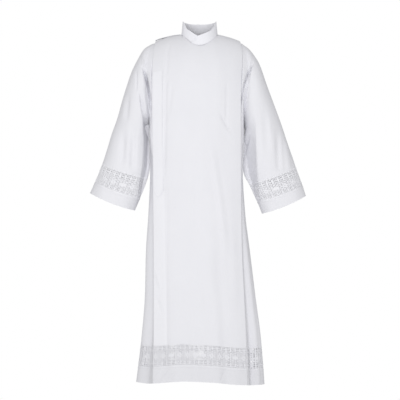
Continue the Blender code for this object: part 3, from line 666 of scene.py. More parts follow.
def collar_point(angle, share):
    turn = np.radians(angle)
    face_front = np.cos(turn) > 0
    x = NECK_HALF_WIDTH * np.sin(turn)
    front_y, back_y = neck_y(FRONT, x), neck_y(BACK, x)
    y = np.where(face_front, -front_y, back_y)
    base = np.where(face_front, yoke_z(FRONT, x, front_y), yoke_z(BACK, x, back_y))
    on_top = 1 - ease((angle - COLLAR_PASS) / COLLAR_SPREAD)
    below = 1 - ease((360 - COLLAR_PASS - angle) / COLLAR_SPREAD)
    step = COLLAR_STEP * (on_top - below)
    lean = mix(1, COLLAR_LEAN, share)
    height = base + COLLAR_FOOT + collar_height(angle) * share
    return points(x * lean + np.sin(turn) * step, y * lean - np.cos(turn) * step, height)


def on_collar(angle, share, height=0.0):
    point = collar_point(angle, share)
    inside = point * (0, 0, 1)
    n = normal_of(collar_point, angle, share, inside)
    return point + n * np.asarray(height)[..., None], n


# %% [markdown]
# ## Laying a flat cut on the form
#
# A tailor's piece starts flat. So does each of these: a flat grid is added with Blender's
# own operator, and each of its points is then carried to its place on the form. The map
# that the weave follows is measured along the laid cloth in metres, so the threads stay
# the same size everywhere. Solidify gives it a thickness last.


# %% A grid laid as cloth
def lay(name, across, down, place, thickness, closed=False, holes=None):
    """place takes shares across and down, and gives points. holes takes the same grid's
    cells and says which are left out."""
    bpy.ops.object.select_all(action="DESELECT")
    bpy.ops.mesh.primitive_grid_add(x_subdivisions=across, y_subdivisions=down, size=1)
    piece = bpy.context.object
    piece.name = name
    mesh = piece.data
    mesh.name = name
    flat = np.empty(len(mesh.vertices) * 3)
    mesh.vertices.foreach_get("co", flat)
    flat = flat.reshape(-1, 3)
    column = np.rint((flat[:, 0] + 0.5) * across).astype(int)
    row = np.rint((0.5 - flat[:, 1]) * down).astype(int)
    a, b = np.meshgrid(np.arange(across + 1) / across, np.arange(down + 1) / down)
    laid = place(a, b)
    mesh.vertices.foreach_set("co", laid[row, column].ravel())
    # The map in metres, across from the middle and down from the top.
    steps = np.linalg.norm(np.diff(laid, axis=1), axis=-1)
    run = np.concatenate([np.zeros((down + 1, 1)), np.cumsum(steps, axis=1)], axis=1)
    run -= run[:, -1:] / 2
    falls = np.linalg.norm(np.diff(laid, axis=0), axis=-1).mean(axis=1)
    fall = np.concatenate([[0], np.cumsum(falls)])
    corner = np.empty(len(mesh.loops), dtype=np.int32)
    mesh.loops.foreach_get("vertex_index", corner)
    uv = np.stack([run[row, column][corner], -fall[row][corner]], axis=-1)
    mesh.uv_layers.active.data.foreach_set("uv", uv.ravel())
    if holes is not None:
        bpy.context.tool_settings.mesh_select_mode = (False, False, True)
        bpy.ops.object.mode_set(mode="EDIT")
        bpy.ops.mesh.select_all(action="DESELECT")
        bpy.ops.object.mode_set(mode="OBJECT")
        corners = np.array([list(face.vertices) for face in mesh.polygons])
        cut = holes(column[corners].min(axis=1), row[corners].min(axis=1))
        mesh.polygons.foreach_set("select", cut)
        bpy.ops.object.mode_set(mode="EDIT")
        bpy.ops.mesh.delete(type="FACE")
        bpy.ops.object.mode_set(mode="OBJECT")
    if closed:
        bpy.ops.object.mode_set(mode="EDIT")
        bpy.ops.mesh.select_all(action="SELECT")
        bpy.ops.mesh.remove_doubles(threshold=1e-5)
        bpy.ops.object.mode_set(mode="OBJECT")
    mesh.update()
    area = sum(face.area for face in mesh.polygons)
    wall = piece.modifiers.new("Wall", "SOLIDIFY")
    wall.thickness = thickness
    wall.offset = 0
    bpy.ops.object.modifier_apply(modifier=wall.name)
    bpy.ops.object.shade_smooth_by_angle(angle=math.radians(60))
    lengths = np.median(run[:, -1] * 2), fall[-1]
    print(f"{name}: {lengths[0]:.3f} x {lengths[1]:.3f} m, {area:.4f} m2, {len(piece.data.polygons)} faces")
    return piece


made = {}  # every piece of cloth, by name

# %% [markdown]
# ## Front and back
#
# The front and back are each one wide panel whose long edges are pressed into pleats: the
# cloth turns under along the edge and runs back a few centimetres behind itself. The turn
# is tiny and tight, so the columns of the grid are spaced unevenly and crowd together
# there. The same rows carry on down through the lace and the band under it.

# %% A panel with its pleated edges
TURN = [  # how far from the pleat's edge, and how deep under the panel, along the cut
    (PLEAT_RETURN, 2 * PLEAT_RADIUS),
    (PLEAT_RETURN * 0.5, 2 * PLEAT_RADIUS),
    (PLEAT_RADIUS * 1.6, 2 * PLEAT_RADIUS),
    (PLEAT_RADIUS * 0.8, 1.95 * PLEAT_RADIUS),
    (PLEAT_RADIUS * 0.2, 1.5 * PLEAT_RADIUS),
    (0.0, PLEAT_RADIUS),
    (PLEAT_RADIUS * 0.2, 0.5 * PLEAT_RADIUS),
    (PLEAT_RADIUS * 0.8, 0.05 * PLEAT_RADIUS),
    (PLEAT_RADIUS * 1.6, 0.0),
]
OPEN_COLUMNS = 78  # between the two pleats
PANEL_COLUMNS = OPEN_COLUMNS + 2 * len(TURN) - 2


def across_panel(count):
    """The panel's columns: (reach in from the wearer's right edge, depth under), in
    metres, over both pleats and count even steps between them."""
    right = [(reach, depth) for reach, depth in TURN]
    left = [(PANEL_WIDTH - reach, depth) for reach, depth in TURN[::-1]]
    first, last = right[-1][0], left[0][0]
    middle = [(mix(first, last, i / count), 0.0) for i in range(1, count)]
    return np.array(right + middle + left)


def panel_place(face, v_top, v_foot, columns, height=None):
    table = across_panel(columns)

    def place(a, b):
        index = a * (len(table) - 1)
        where = np.arange(len(table))
        reach = np.interp(index, where, table[:, 0])
        depth = np.interp(index, where, table[:, 1])
        if face == BACK:
            reach = PANEL_WIDTH - reach
        v = v_top(b) if callable(v_top) else mix(v_top, v_foot, b)
        raised = 0.0 if height is None else height(b)
        return on_panel(face, reach / PANEL_WIDTH, v, raised - depth)[0]

    return place


def down_panel(b):
    """v from the shoulder to the lace, in even steps of cloth."""
    return np.interp(b, [0, 0.19, 1], [0, 1, 2])


for face in (FRONT, BACK):
    name = FACE_NAME[face] + "_cloth"
    place = panel_place(face, down_panel, None, OPEN_COLUMNS)
    made[name] = lay(name, PANEL_COLUMNS, 190, place, CLOTH)

# %% [markdown]
# ## Side panels
#
# Each side of the body has a front and a back side panel. One edge is tucked in behind
# the pleat of the front or back, and the other meets the sleeve down to the armpit and
# the side seam below it. The part that shows sits in shadow beside the pleat's edge.

# %% The four side panels
SIDE_COLUMNS = 44


def side_place(side, face, row_top, row_foot, height=None):
    ahead = (side == RIGHT) == (face == FRONT)

    def place(a, b):
        u = 2 * (1 - a) if ahead else 2 * a
        row = row_top(b) if callable(row_top) else mix(row_top, row_foot, b)
        raised = 0.0 if height is None else height(b)
        return on_side(side, face, u, row, raised)[0]

    return place


def down_side(b):
    return np.interp(b, [0, 0.33, 1], [0, 1, 2])


for side in (RIGHT, LEFT):
    for face in (FRONT, BACK):
        name = f"side_cloth_{FACE_NAME[face]}_{SIDE_NAME[side]}"
        place = side_place(side, face, down_side, None)
        made[name] = lay(name, SIDE_COLUMNS, 180, place, CLOTH)

# %% [markdown]
# ## Sleeves
#
# The sleeves are wide straight tubes set into the armholes. A tube's cut is laid the same
# way, but its first and last columns meet, so they are merged into one seam under the arm.

# %% The sleeves as closed tubes
SLEEVE_COLUMNS = 150


def sleeve_place(side, s_top, s_foot, height=None):
    def place(a, b):
        s = mix(s_top, s_foot, b)
        raised = 0.0 if height is None else height(b)
        return on_sleeve(side, math.pi + side * 2 * math.pi * a, s, raised)[0]

    return place


for side in (RIGHT, LEFT):
    name = "sleeve_cloth_" + SIDE_NAME[side]
    made[name] = lay(name, SLEEVE_COLUMNS, 110, sleeve_place(side, 0, 1), CLOTH, closed=True)

# %% [markdown]
# ## The bands under the lace
#
# Below the lace each edge is finished with a plain band. It is turned up double, so it is
# a little thicker, and its top edge stands up in a fine bright ridge where the lace is
# sewn on.


# %% Hem bands and cuffs
def band_height(depth):
    """The ridge at a band's top edge and the roll at its foot."""
    ridge = lambda b: 0.0010 * bell((b * depth - 0.0022) / 0.0026)
    roll = lambda b: 0.0004 * bell((depth - b * depth - 0.0010) / 0.0030)
    return lambda b: ridge(b) + roll(b)


for face in (FRONT, BACK):
    name = f"hem_band_{FACE_NAME[face]}_cloth"
    place = panel_place(face, 3, 4, OPEN_COLUMNS, band_height(HEM_BAND))
    made[name] = lay(name, PANEL_COLUMNS, 30, place, BAND_CLOTH)
    for side in (RIGHT, LEFT):
        name = f"hem_band_{FACE_NAME[face]}_{SIDE_NAME[side]}_cloth"
        place = side_place(side, face, 3, 4, band_height(HEM_BAND))
        made[name] = lay(name, SIDE_COLUMNS, 30, place, BAND_CLOTH)
for side in (RIGHT, LEFT):
    name = f"cuff_{SIDE_NAME[side]}_cloth"
    place = sleeve_place(side, 2, 3, band_height(CUFF_BAND))
    made[name] = lay(name, SLEEVE_COLUMNS, 24, place, BAND_CLOTH, closed=True)

# %% [markdown]
# ## Lace
#
# The insertion is a square net with its cells left open or darned shut. From its top: a
# close tape, a row of net, a ladder of two rows of steps, a row of net, a band of fine net
# with small darned diamonds, and the same again in the other order down to a tape. It
# repeats across every few threads, so it is charted as rows with a height and a kind, and
# the open cells are deleted from the laid grid.

# %% The lace's chart
THREAD = 0.0024  # width of a bar of the net
HOLE = 0.0023
PITCH = THREAD + HOLE
Course = namedtuple("Course", "kind height")
NET = [Course("net", 0.0024), Course("bar", 0.0018)]
LADDER = [
    Course("step", 0.0040),
    Course("bar", 0.0036),
    Course("step", 0.0040),
    Course("bar", 0.0034),
]
BAND = [Course("band", 0.0026), Course("bar", 0.0017)]
TAPE = [Course("bar", 0.0024), Course("bar", 0.0026)]
LACE_CHART = TAPE + NET + LADDER + NET + BAND * 9 + NET + LADDER + NET + TAPE
kinds = [course.kind for course in LACE_CHART]
band_rows = [i for i, kind in enumerate(kinds) if kind == "band"]
print("lace:", len(kinds), "courses,", round(sum(c.height for c in LACE_CHART) * 1000, 1), "mm")


def open_cells(column, row):
    """True for each cell of the net that is a hole."""
    kind = np.array(kinds)[row]
    is_hole = column % 2 == 1
    mesh_column = column // 2
    net = is_hole & (kind == "net")
    ladder = is_hole & (kind == "step") & (mesh_column % 4 > 0)
    course = np.array([band_rows.index(i) if i in band_rows else 0 for i in range(len(kinds))])
    up = np.abs(course[row] - 4)
    beside = np.abs(mesh_column % 7 - 3)
    diamond = (up + beside < 2.2) & (up + beside > 0.6)
    turn = (mesh_column + 2 * course[row]) % 4 > 0
    band = is_hole & (kind == "band") & turn & ~diamond
    return net | ladder | band


def lace_rows(b):
    """Shares down the lace at the edges of its courses."""
    edges = np.concatenate([[0], np.cumsum([course.height for course in LACE_CHART])])
    return np.interp(b * len(LACE_CHART), np.arange(len(edges)), edges / edges[-1])


def lace_columns(a, across):
    """Shares across at the edges of threads and holes."""
    widths = np.where(np.arange(across) % 2 == 0, THREAD, HOLE)
    edges = np.concatenate([[0], np.cumsum(widths)])
    return np.interp(a * across, np.arange(len(edges)), edges / edges[-1])


# %% Lace at the hem and on the sleeves
def net_columns(width):
    """An odd number of columns, so that the lace starts and ends on a thread."""
    return 2 * round(width / PITCH) + 1


PANEL_NET = PANEL_WIDTH + 0.035 + 2 * PLEAT_RETURN  # widths that the nets are counted for
SIDE_NET = 0.20
SLEEVE_NET = 0.49
flat_reach = across_panel(400)
for face in (FRONT, BACK):
    across = net_columns(PANEL_NET)

    def lace_place(a, b, face=face, across=across):
        # The net runs round the pleats too, evenly by length of cloth.
        steps = np.hypot(np.diff(flat_reach[:, 0]), np.diff(flat_reach[:, 1]))
        run = np.concatenate([[0], np.cumsum(steps)])
        along = lace_columns(a, across) * run[-1]
        reach = np.interp(along, run, flat_reach[:, 0])
        depth = np.interp(along, run, flat_reach[:, 1])
        if face == BACK:
            reach = PANEL_WIDTH - reach
        return on_panel(face, reach / PANEL_WIDTH, 2 + lace_rows(b), -depth)[0]

    name = "hem_lace_net_" + FACE_NAME[face]
    made[name] = lay(name, across, len(kinds), lace_place, LACE_THREAD, holes=open_cells)
    for side in (RIGHT, LEFT):
        across = net_columns(SIDE_NET)
        spot = side_place(side, face, lambda b: 2 + lace_rows(b), None)
        name = f"hem_lace_net_{FACE_NAME[face]}_{SIDE_NAME[side]}"
        place = lambda a, b: spot(lace_columns(a, across), b)
        made[name] = lay(name, across, len(kinds), place, LACE_THREAD, holes=open_cells)
for side in (RIGHT, LEFT):
    across = net_columns(SLEEVE_NET) + 1  # a ring has as many threads as holes
    spot = sleeve_place(side, 1, 2)
    place = lambda a, b: spot(lace_columns(a, across), lace_rows(b))
    name = "sleeve_lace_net_" + SIDE_NAME[side]
    made[name] = lay(name, across, len(kinds), place, LACE_THREAD, closed=True, holes=open_cells)

# %% [markdown]
# ## Collar, placket and shoulder flap
#
# The collar is a standing band whose ends cross at the throat. The placket is a narrow
# strip that hides the zip, square at the top and drawn to a point at its foot. The flap
# covers the top of the opening: it lies over the shoulder with its outer corner a little
# raised.


# %% The collar
def collar_place(a, b):
    angle = mix(-COLLAR_PASS, 360 + COLLAR_PASS, a)
    share = 1 - b
    tall = collar_height(angle)
    fold_top = 0.0007 * bell((1 - share) * tall / 0.0030)
    edge_dip = -0.0004 * bell(((1 - share) * tall - 0.0065) / 0.0022)
    return on_collar(angle, share, fold_top + edge_dip)[0]


made["collar_cloth"] = lay("collar_cloth", 190, 22, collar_place, 0.0017)


# %% The placket over the zip
def v_at_drop(drop):
    """The panels' v at a drop, between the shoulder and the lace."""
    over = np.arccos(1 - np.clip(drop / CHEST, 0, 1)) * 2 / math.pi
    return np.where(drop < CHEST, over, 1 + share_of(CHEST, LACE_TOP, drop))


def placket_place(a, b):
    length = PLACKET_FOOT + PLACKET_TAPER - PLACKET_TOP
    drop = PLACKET_TOP + b * length
    taper = np.clip((drop - PLACKET_FOOT) / PLACKET_TAPER, 0, 1)
    middle = (PLACKET_EDGE + PLACKET_WIDTH) / 2
    half = mix((PLACKET_WIDTH - PLACKET_EDGE) / 2, PLACKET_POINT / 2, taper)
    reach = middle + (a - 0.5) * 2 * half
    rim = np.minimum(reach - (middle - half), middle + half - reach)
    height = PLACKET_RISE + 0.0009 * bell((rim - 0.0014) / 0.0026)
    return on_panel(FRONT, reach / PANEL_WIDTH, v_at_drop(drop), height)[0]


made["zip_placket_cloth"] = lay("zip_placket_cloth", 20, 110, placket_place, CLOTH)


# %% The shoulder flap
def flap_place(a, b):
    right = float(body["edge_right"](0))
    x = mix(FLAP_EDGES[0], FLAP_EDGES[1], a)
    u = (x - right) / PANEL_WIDTH
    reach = mix(-FLAP_BACK, FLAP_FRONT, b)
    v_front = np.arcsin(np.maximum(reach, 0) / 0.12) * 2 / math.pi
    v_back = np.arcsin(np.maximum(-reach, 0) / 0.11) * 2 / math.pi
    free = 1 - ease(a / 0.6)
    front, up = on_panel(FRONT, u, v_front, 0.0016)
    back, _ = on_panel(BACK, u, v_back, 0.0016)
    point = np.where((reach >= 0)[..., None], front, back)
    point[..., 2] += FLAP_LIFT * free * mix(0.6, 1.0, b)
    return point


made["shoulder_flap_cloth"] = lay("shoulder_flap_cloth", 36, 14, flap_place, CLOTH * 1.2)

# %% [markdown]
# ## Stitching
#
# Top-stitching is what makes a hem or a placket look sewn. One stitch is a small bead of
# thread, a few millimetres long. It is made once and copied along each seam, turned to
# follow it, and all the stitches of a seam are joined in one mesh.


# %% One stitch, and rows of it
STITCH_LENGTH = 0.0024
STITCH_STEP = 0.0032
bpy.ops.object.select_all(action="DESELECT")
bpy.ops.mesh.primitive_ico_sphere_add(subdivisions=1, radius=0.5)
bead = bpy.context.object
bead_points = np.array([vertex.co for vertex in bead.data.vertices])
bead_faces = np.array([list(face.vertices) for face in bead.data.polygons])
bpy.data.objects.remove(bead, do_unlink=True)


def stitch_seam(name, runs, width=0.0006, step=STITCH_STEP, length=STITCH_LENGTH):
    """runs are lines of (points, normals) along the cloth's face."""
    spots, heads, tops = [], [], []
    for line, up in runs:
        steps = np.linalg.norm(np.diff(line, axis=0), axis=1)
        run = np.concatenate([[0], np.cumsum(steps)])
        count = max(2, int(run[-1] / step))
        at = (np.arange(count) + 0.5) / count * run[-1]
        ahead = at + length / 4
        where = np.stack([np.interp(at, run, line[:, i]) for i in range(3)], axis=1)
        beyond = np.stack([np.interp(ahead, run, line[:, i]) for i in range(3)], axis=1)
        spots.append(where)
        heads.append(unit(beyond - where))
        tops.append(np.stack([np.interp(at, run, up[:, i]) for i in range(3)], axis=1))
    spots, heads, tops = (np.concatenate(rows) for rows in (spots, heads, tops))
    beside = unit(np.cross(tops, heads))
    tops = np.cross(heads, beside)
    axes = np.stack([heads * length, beside * width, tops * width * 0.7], axis=1)
    corners = spots[:, None, :] + np.einsum("pk,nkc->npc", bead_points, axes)
    faces = bead_faces[None] + len(bead_points) * np.arange(len(spots))[:, None, None]
    mesh = bpy.data.meshes.new(name)
    mesh.from_pydata(corners.reshape(-1, 3).tolist(), [], faces.reshape(-1, 3).tolist())
    seam = bpy.data.objects.new(name, mesh)
    bpy.context.scene.collection.objects.link(seam)
    bpy.ops.object.select_all(action="DESELECT")
    seam.select_set(True)
    bpy.context.view_layer.objects.active = seam
    bpy.ops.object.shade_smooth()
    print(f"{name}: {len(spots)} stitches")
    return seam


def line_on_front(reach, first, last, height, count=160):
    """A line down the front at a reach in from its wearer's-right edge, by drops."""
    drop = np.linspace(first, last, count)
    line, up = on_panel(FRONT, np.full(count, reach / PANEL_WIDTH), v_at_drop(drop), height)
    return line, up


LIFT = CLOTH / 2 + 0.0001
stitching = {}

# %% The placket's stitches, and the bar that closes its foot
inner = PLACKET_WIDTH - 0.0035
outer = PLACKET_EDGE + 0.0035
placket_lift = PLACKET_RISE + LIFT
stitching["placket_stitches"] = (
    "zip_placket_cloth",
    stitch_seam(
        "placket_stitches",
        [
            line_on_front(inner, PLACKET_TOP, PLACKET_FOOT - 0.004, placket_lift),
            line_on_front(outer, PLACKET_TOP, PLACKET_FOOT - 0.004, placket_lift),
        ],
    ),
)
BAR_ENDS = (0.0345, 0.0665)  # in from the wearer's-right edge
BAR_TOP, BAR_STEP = 0.6490, 0.0036
bars = []
for i in range(5):
    reach = np.linspace(*BAR_ENDS, 20)
    v = v_at_drop(np.full(20, BAR_TOP + BAR_STEP * i))
    lift = np.where(reach < PLACKET_WIDTH, placket_lift, LIFT)
    bars.append(on_panel(FRONT, reach / PANEL_WIDTH, v, lift))
stitching["bar_tack"] = ("front_cloth", stitch_seam("bar_tack", bars, width=0.0012))


# %% Rows round the hem and the cuffs
def hem_lines(v, lift):
    runs = []
    for face in (FRONT, BACK):
        reach = np.linspace(0.002, PANEL_WIDTH - 0.002, 120)
        runs.append(on_panel(face, reach / PANEL_WIDTH, np.full(120, v), lift))
    return runs


def side_lines(side, face, v, lift):
    u = np.linspace(1.0, 1.98, 60)
    return [on_side(side, face, u, np.full(60, v), lift)]


def sleeve_lines(side, s, lift):
    theta = np.linspace(-math.pi, math.pi, 200)
    return [on_sleeve(side, theta, np.full(200, s), lift)]


FROM_TOP, FROM_FOOT, OVER_LACE = 0.0065, 0.006, 0.004  # of a band, and above the lace
PANEL_FALL, SLEEVE_FALL = 1.05, 0.55  # metres of cloth to the lace, from chest and armhole
HEM_ROWS = (3 + FROM_TOP / HEM_BAND, 4 - FROM_FOOT / HEM_BAND, 2 - OVER_LACE / PANEL_FALL)
runs = []
for v in HEM_ROWS:
    runs += hem_lines(v, LIFT)
for side in (RIGHT, LEFT):
    for face in (FRONT, BACK):
        for v in HEM_ROWS:
            runs += side_lines(side, face, v, LIFT)
stitching["hem_stitches"] = ("hem_band_front_cloth", stitch_seam("hem_stitches", runs))
for side in (RIGHT, LEFT):
    where = SIDE_NAME[side]
    runs = []
    for s in (1 - OVER_LACE / SLEEVE_FALL, 2 + FROM_FOOT / CUFF_BAND, 3 - FROM_FOOT / CUFF_BAND):
        runs += sleeve_lines(side, s, LIFT)
    name = "cuff_stitches_" + where
    stitching[name] = (f"cuff_{where}_cloth", stitch_seam(name, runs))

# %% The lace's leaves: rows of small raised leaves worked in thicker thread
LEAF_ROWS = (0.236, 0.790)  # shares down the lace
UNDER_TAPE = 0.03  # the sleeves have one more row, at the lace's top
LEAF = {"width": 0.0052, "step": 0.0125, "length": 0.0085}
runs = []
for share in LEAF_ROWS:
    runs += hem_lines(2 + share, LIFT)
    for side in (RIGHT, LEFT):
        for face in (FRONT, BACK):
            runs += side_lines(side, face, 2 + share, LIFT)
stitching["hem_lace_leaves"] = ("hem_lace_net_front", stitch_seam("hem_lace_leaves", runs, **LEAF))
for side in (RIGHT, LEFT):
    where = SIDE_NAME[side]
    runs = []
    for share in (UNDER_TAPE,) + LEAF_ROWS:
        runs += sleeve_lines(side, 1 + share, LIFT)
    name = "sleeve_lace_leaves_" + where
    stitching[name] = (f"sleeve_lace_net_{where}", stitch_seam(name, runs, **LEAF))

# %% Rows round the collar
angle = np.linspace(-COLLAR_PASS + 2, 360 + COLLAR_PASS - 2, 260)
share = 1 - 0.0065 / collar_height(angle)
keep = share > 0.45
COLLAR_LIFT = 0.0009
runs = [on_collar(angle[keep], share[keep], np.full(keep.sum(), COLLAR_LIFT))]
low = np.full(len(angle), 0.0042) / collar_height(angle)
runs.append(on_collar(angle, low, np.full(len(angle), COLLAR_LIFT)))
stitching["collar_stitches"] = ("collar_cloth", stitch_seam("collar_stitches", runs))

# %% [markdown]
# ## Finishes
#
# The cloth is a fine plain weave: each thread goes over one and under the next. Two sets of
# waves across the cut, one a half step out, give that in a bump too fine to see from far
# off, but it breaks up the light close by. Its white is cool and very slightly uneven,
# and the front has a painted highlight: it is a touch whiter in a strip along the wearer's
# right edge, over the pleat, from below the yoke to the hem.
#
# The maths is written as plain Python on sockets through one small class.


# %% Sockets that can be added and multiplied
class Strand:
    """A value in a finish's node tree."""

    def __init__(self, finish, socket):
        self.finish = finish
        self.socket = socket

    def maths(self, operation, *others):
        inputs = {0: self}
        for i, other in enumerate(others):
            inputs[i + 1] = other
        return self.finish.node("ShaderNodeMath", {"operation": operation}, inputs)

    def __add__(self, other):
        return self.maths("ADD", other)

    __radd__ = __add__

    def __mul__(self, other):
        return self.maths("MULTIPLY", other)

    __rmul__ = __mul__

    def __sub__(self, other):
        return self.maths("SUBTRACT", other)

    def __rsub__(self, other):
        return self.finish.node("ShaderNodeMath", {"operation": "SUBTRACT"}, {0: other, 1: self})

    def __truediv__(self, other):
        return self.maths("DIVIDE", other)


class Finish:
    """A material, with one method that adds any node to it."""

    def __init__(self, name):
        self.material = bpy.data.materials.new(name)
        self.material.use_nodes = True
        self.tree = self.material.node_tree
        self.shader = self.tree.nodes["Principled BSDF"]

    def node(self, kind, settings=None, inputs=None, output=0):
        new = self.tree.nodes.new(kind)
        for key, value in (settings or {}).items():
            setattr(new, key, value)
        for key, value in (inputs or {}).items():
            self.feed(new.inputs[key], value)
        return Strand(self, new.outputs[output])

    def feed(self, socket, value):
        if isinstance(value, Strand):
            self.tree.links.new(value.socket, socket)
        else:
            socket.default_value = value

    def surface(self, **values):
        for key, value in values.items():
            self.feed(self.shader.inputs[key.replace("_", " ")], value)

    def cut_map(self):
        """The cloth's own map: metres across and down its cut."""
        both = self.node("ShaderNodeUVMap", {"uv_map": "UVMap"})
        across = self.node("ShaderNodeSeparateXYZ", None, {0: both}, "X")
        down = Strand(self, across.socket.node.outputs["Y"])
        return both, across, down

    def noise(self, where, scale, detail=2.0):
        settings = {"noise_dimensions": "2D"}
        inputs = {"Vector": where, "Scale": scale, "Detail": detail}
        return self.node("ShaderNodeTexNoise", settings, inputs)

    def blend(self, factor, a, b):
        settings = {"data_type": "RGBA"}
        return self.node("ShaderNodeMix", settings, {"Factor": factor, 6: a, 7: b}, 2)


# %% Plain cloth
THREADS = 0.00055  # from one thread to the next


def woven(name, bright, shade, rough, weave, highlight_to=None):
    """A plain-woven finish whose white wanders between two close shades. With the last argument,
    it is whiter in a painted highlight from the cut's wearer's-right edge up to that place across it."""
    finish = Finish(name)
    both, across, down = finish.cut_map()
    turn = 2 * math.pi / THREADS
    warp = (across * turn).maths("SINE")
    weft = (down * turn).maths("SINE")
    over = (across * (turn / 2)).maths("SINE") * (down * (turn / 2)).maths("SINE")
    threads = (warp + weft) * 0.25 + over * 0.3
    slub = finish.noise(both, 900.0)
    crush = finish.noise(both, 28.0, 3.0)
    cloud = finish.noise(both, 7.0)
    height = threads * weave + slub * 0.25 + crush * 1.6
    white = finish.blend(cloud, shade, bright)
    if highlight_to is not None:
        # The painted highlight's strip has an edge a few millimetres soft, and it starts below the yoke.
        behind = ((highlight_to - across) * 300.0 + 0.5).maths("MINIMUM", 1.0).maths("MAXIMUM", 0.0)
        hung = ((down + 0.16) * -12.0).maths("MINIMUM", 1.0).maths("MAXIMUM", 0.0)
        painted_highlight = tuple(min(1.0, level * 1.030) for level in bright)
        white = finish.blend(behind * hung, white, painted_highlight)
    bump = {"Strength": 0.35, "Distance": 0.0006, "Height": height}
    finish.surface(
        Base_Color=white,
        Roughness=rough + crush * 0.10,
        Normal=finish.node("ShaderNodeBump", None, bump),
        Sheen_Weight=0.12,
        Sheen_Roughness=0.45,
        Specular_IOR_Level=0.25,
    )
    return finish.material


# The painted highlight on the front ends here: a strip whiter than the rest, along the wearer's right edge.
HIGHLIGHT_TO = -0.139  # metres across the front's cut, from its middle
WHITE = (0.815, 0.815, 0.850, 1)
WHITE_SHADE = (0.790, 0.790, 0.828, 1)
alb_cloth = woven("alb_cloth", WHITE, WHITE_SHADE, 0.78, 0.6)
# The hem bands: a darker copy of the white, painted shade that makes the garment darker towards its foot.
hem_band_painted_shade = woven("hem_band_painted_shade", (0.780, 0.780, 0.812, 1), (0.750, 0.750, 0.786, 1), 0.78, 0.6)
front_cloth = woven("front_cloth", WHITE, WHITE_SHADE, 0.78, 0.6, highlight_to=HIGHLIGHT_TO)
# The placket: a lighter copy of the white, a painted highlight on the strip over the zip.
placket_painted_light = woven("placket_painted_light", (0.845, 0.845, 0.883, 1), (0.83, 0.83, 0.868, 1), 0.78, 0.6)
# The collar: a lighter copy of the white, painted light on the collar.
collar_painted_light = woven("collar_painted_light", (0.885, 0.885, 0.928, 1), (0.86, 0.86, 0.903, 1), 0.74, 0.6)


# %% Lace and sewing thread
def spun(name, colour, rough):
    """Cotton thread: fine twisted fibres, matt."""
    finish = Finish(name)
    both, across, down = finish.cut_map()
    twist = ((across + down) * (2 * math.pi / 0.0009)).maths("SINE")
    fibre = finish.noise(both, 1400.0)
    bump = {"Strength": 0.5, "Distance": 0.0005, "Height": twist * 0.35 + fibre * 0.6}
    finish.surface(
        Base_Color=colour,
        Roughness=rough + fibre * 0.12,
        Normal=finish.node("ShaderNodeBump", None, bump),
        Specular_IOR_Level=0.2,
    )
    return finish.material


lace_cotton = spun("lace_cotton", (0.800, 0.800, 0.835, 1), 0.80)
# The sleeves' lace: a lighter copy of the hem's lace, painted light that makes the lace higher up brighter.
sleeve_lace_painted_light = spun("sleeve_lace_painted_light", (0.860, 0.860, 0.895, 1), 0.80)
sewing_thread = spun("sewing_thread", (0.840, 0.840, 0.870, 1), 0.60)

# %% [markdown]
# ## Finishing the pieces
#
# Each piece takes a finish, takes the place of its solid in the frame, which is hidden, and rides with the
# garment.
# The cut of each is stated flat, as a tailor would mark it out: width and length, and its
# area where it isn't a rectangle or has holes.

# %% The cuts
Cut = namedtuple("Cut", "piece node finish slot held width length area")
CUTS = []


def cut(piece, node, finish, slot, held, width, length, area=None):
    CUTS.append(Cut(piece, node, finish, slot, held, width, length, area))


for face, long, spread in (("front", 1.32, 0.62), ("back", 1.34, 0.63)):
    plain = front_cloth if face == "front" else alb_cloth
    cut(f"{face}_cloth", f"{face}_panel", plain, "cloth", "hung", 0.50, long, spread)
    cut(f"hem_lace_net_{face}", f"hem_lace_{face}", lace_cotton, "lace", "hung", 0.50, 0.094, 0.037)
    cut(f"hem_band_{face}_cloth", f"hem_band_{face}", hem_band_painted_shade, "cloth", "hung", 0.50, 0.064)
    for side in ("right", "left"):
        both = f"{face}_{side}"
        cut(f"side_cloth_{both}", f"side_{both}", alb_cloth, "cloth", "hung", 0.24, 1.33, 0.205)
        cut(f"hem_lace_net_{both}", f"hem_lace_{both}", lace_cotton, "lace", "hung", 0.25, 0.095, 0.018)
        cut(f"hem_band_{both}_cloth", f"hem_band_{both}", hem_band_painted_shade, "cloth", "hung", 0.24, 0.064)
for side, long, spread in (("right", 0.56, 0.208), ("left", 0.58, 0.229)):
    cut(f"sleeve_cloth_{side}", f"sleeve_{side}", alb_cloth, "cloth", "hung", 0.80, long, spread)
    net = sleeve_lace_painted_light
    cut(f"sleeve_lace_net_{side}", f"sleeve_lace_{side}", net, "lace", "hung", 0.56, 0.09, 0.039)
    cut(f"cuff_{side}_cloth", f"cuff_{side}", alb_cloth, "cloth", "hung", 0.545, 0.050)
cut("collar_cloth", "collar", collar_painted_light, "cloth", "laid", 0.565, 0.053, 0.023)
cut("zip_placket_cloth", "zip_placket", placket_painted_light, "cloth", "laid", 0.038, 0.533)
cut("shoulder_flap_cloth", "shoulder_flap", alb_cloth, "cloth", "laid", 0.107, 0.031)

# %% Finish and body of each, with its solid hidden
for row in CUTS:
    piece = made[row.piece]
    piece.data.materials.clear()
    piece.data.materials.append(row.finish)
    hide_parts(row.node)
    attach(piece, "root")
    sewn_on = [seam for owner, seam in stitching.values() if owner == row.piece]
for owner, seam in stitching.values():
    seam.data.materials.append(sewing_thread)
    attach(seam, "root")
total = sum(len(o.data.loop_triangles) or len(o.data.polygons) * 2 for o in made.values())
print("pieces of cloth:", len(made), "with about", total, "triangles")

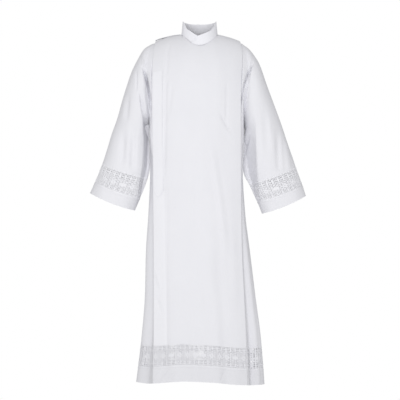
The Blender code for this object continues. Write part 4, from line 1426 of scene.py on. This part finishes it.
# %% [markdown]
# ## Floor, light and camera
#
# The light is broad and stands straight ahead, a little to one side and nearer than the
# camera, so the front is bright and even and whatever turns away from it falls off gently.
# The white world only fills the shadows.

# %% Floor
bpy.ops.object.select_all(action="DESELECT")
bpy.ops.mesh.primitive_plane_add(size=9.0, location=(0, 0, -1.60))
floor = bpy.context.object
floor.name = "floor"
paper = Finish("floor_paper")
paper.surface(Base_Color=(0, 0, 0, 1), Emission_Color=(1, 1, 1, 1), Emission_Strength=1.0)
paper.surface(Roughness=1.0, Specular_IOR_Level=0.0)
floor.data.materials.append(paper.material)
floor.visible_diffuse = False  # it is only seen, and lights nothing
floor.visible_glossy = False
floor.visible_shadow = False

# %% World
world = bpy.data.worlds.new("studio")
bpy.context.scene.world = world
world.use_nodes = True
air = world.node_tree
background = air.nodes["Background"]
background.inputs["Color"].default_value = (1.0, 1.0, 1.0, 1)
seen = air.nodes.new("ShaderNodeLightPath")
level = air.nodes.new("ShaderNodeMapRange")
AMBIENT = 0.62
level.inputs["To Min"].default_value = AMBIENT
level.inputs["To Max"].default_value = 1.0
air.links.new(seen.outputs["Is Camera Ray"], level.inputs["Value"])
air.links.new(level.outputs["Result"], background.inputs["Strength"])
bpy.context.scene.view_settings.view_transform = "Standard"


# %% Light and camera
def area_light(name, place, aim, size, power):
    bpy.ops.object.light_add(type="AREA", location=place)
    lamp = bpy.context.object
    lamp.name = name
    lamp.data.size = size
    lamp.data.energy = power
    away = np.array(place) - np.array(aim)
    lamp.rotation_euler = (
        math.atan2(math.hypot(away[0], away[1]), away[2]),
        0,
        math.atan2(away[0], -away[1]),
    )
    return lamp


area_light("key", place=(-0.22, -3.39, -0.42), aim=(0, 0, -0.46), size=1.3, power=49.8)
bpy.ops.object.camera_add(location=(0.002, -8.05, -0.699), rotation=(math.pi / 2, 0, 0))
camera = bpy.context.object
camera.data.lens = 171.4
camera.data.sensor_width = 36
camera.data.dof.use_dof = False
bpy.context.scene.camera = camera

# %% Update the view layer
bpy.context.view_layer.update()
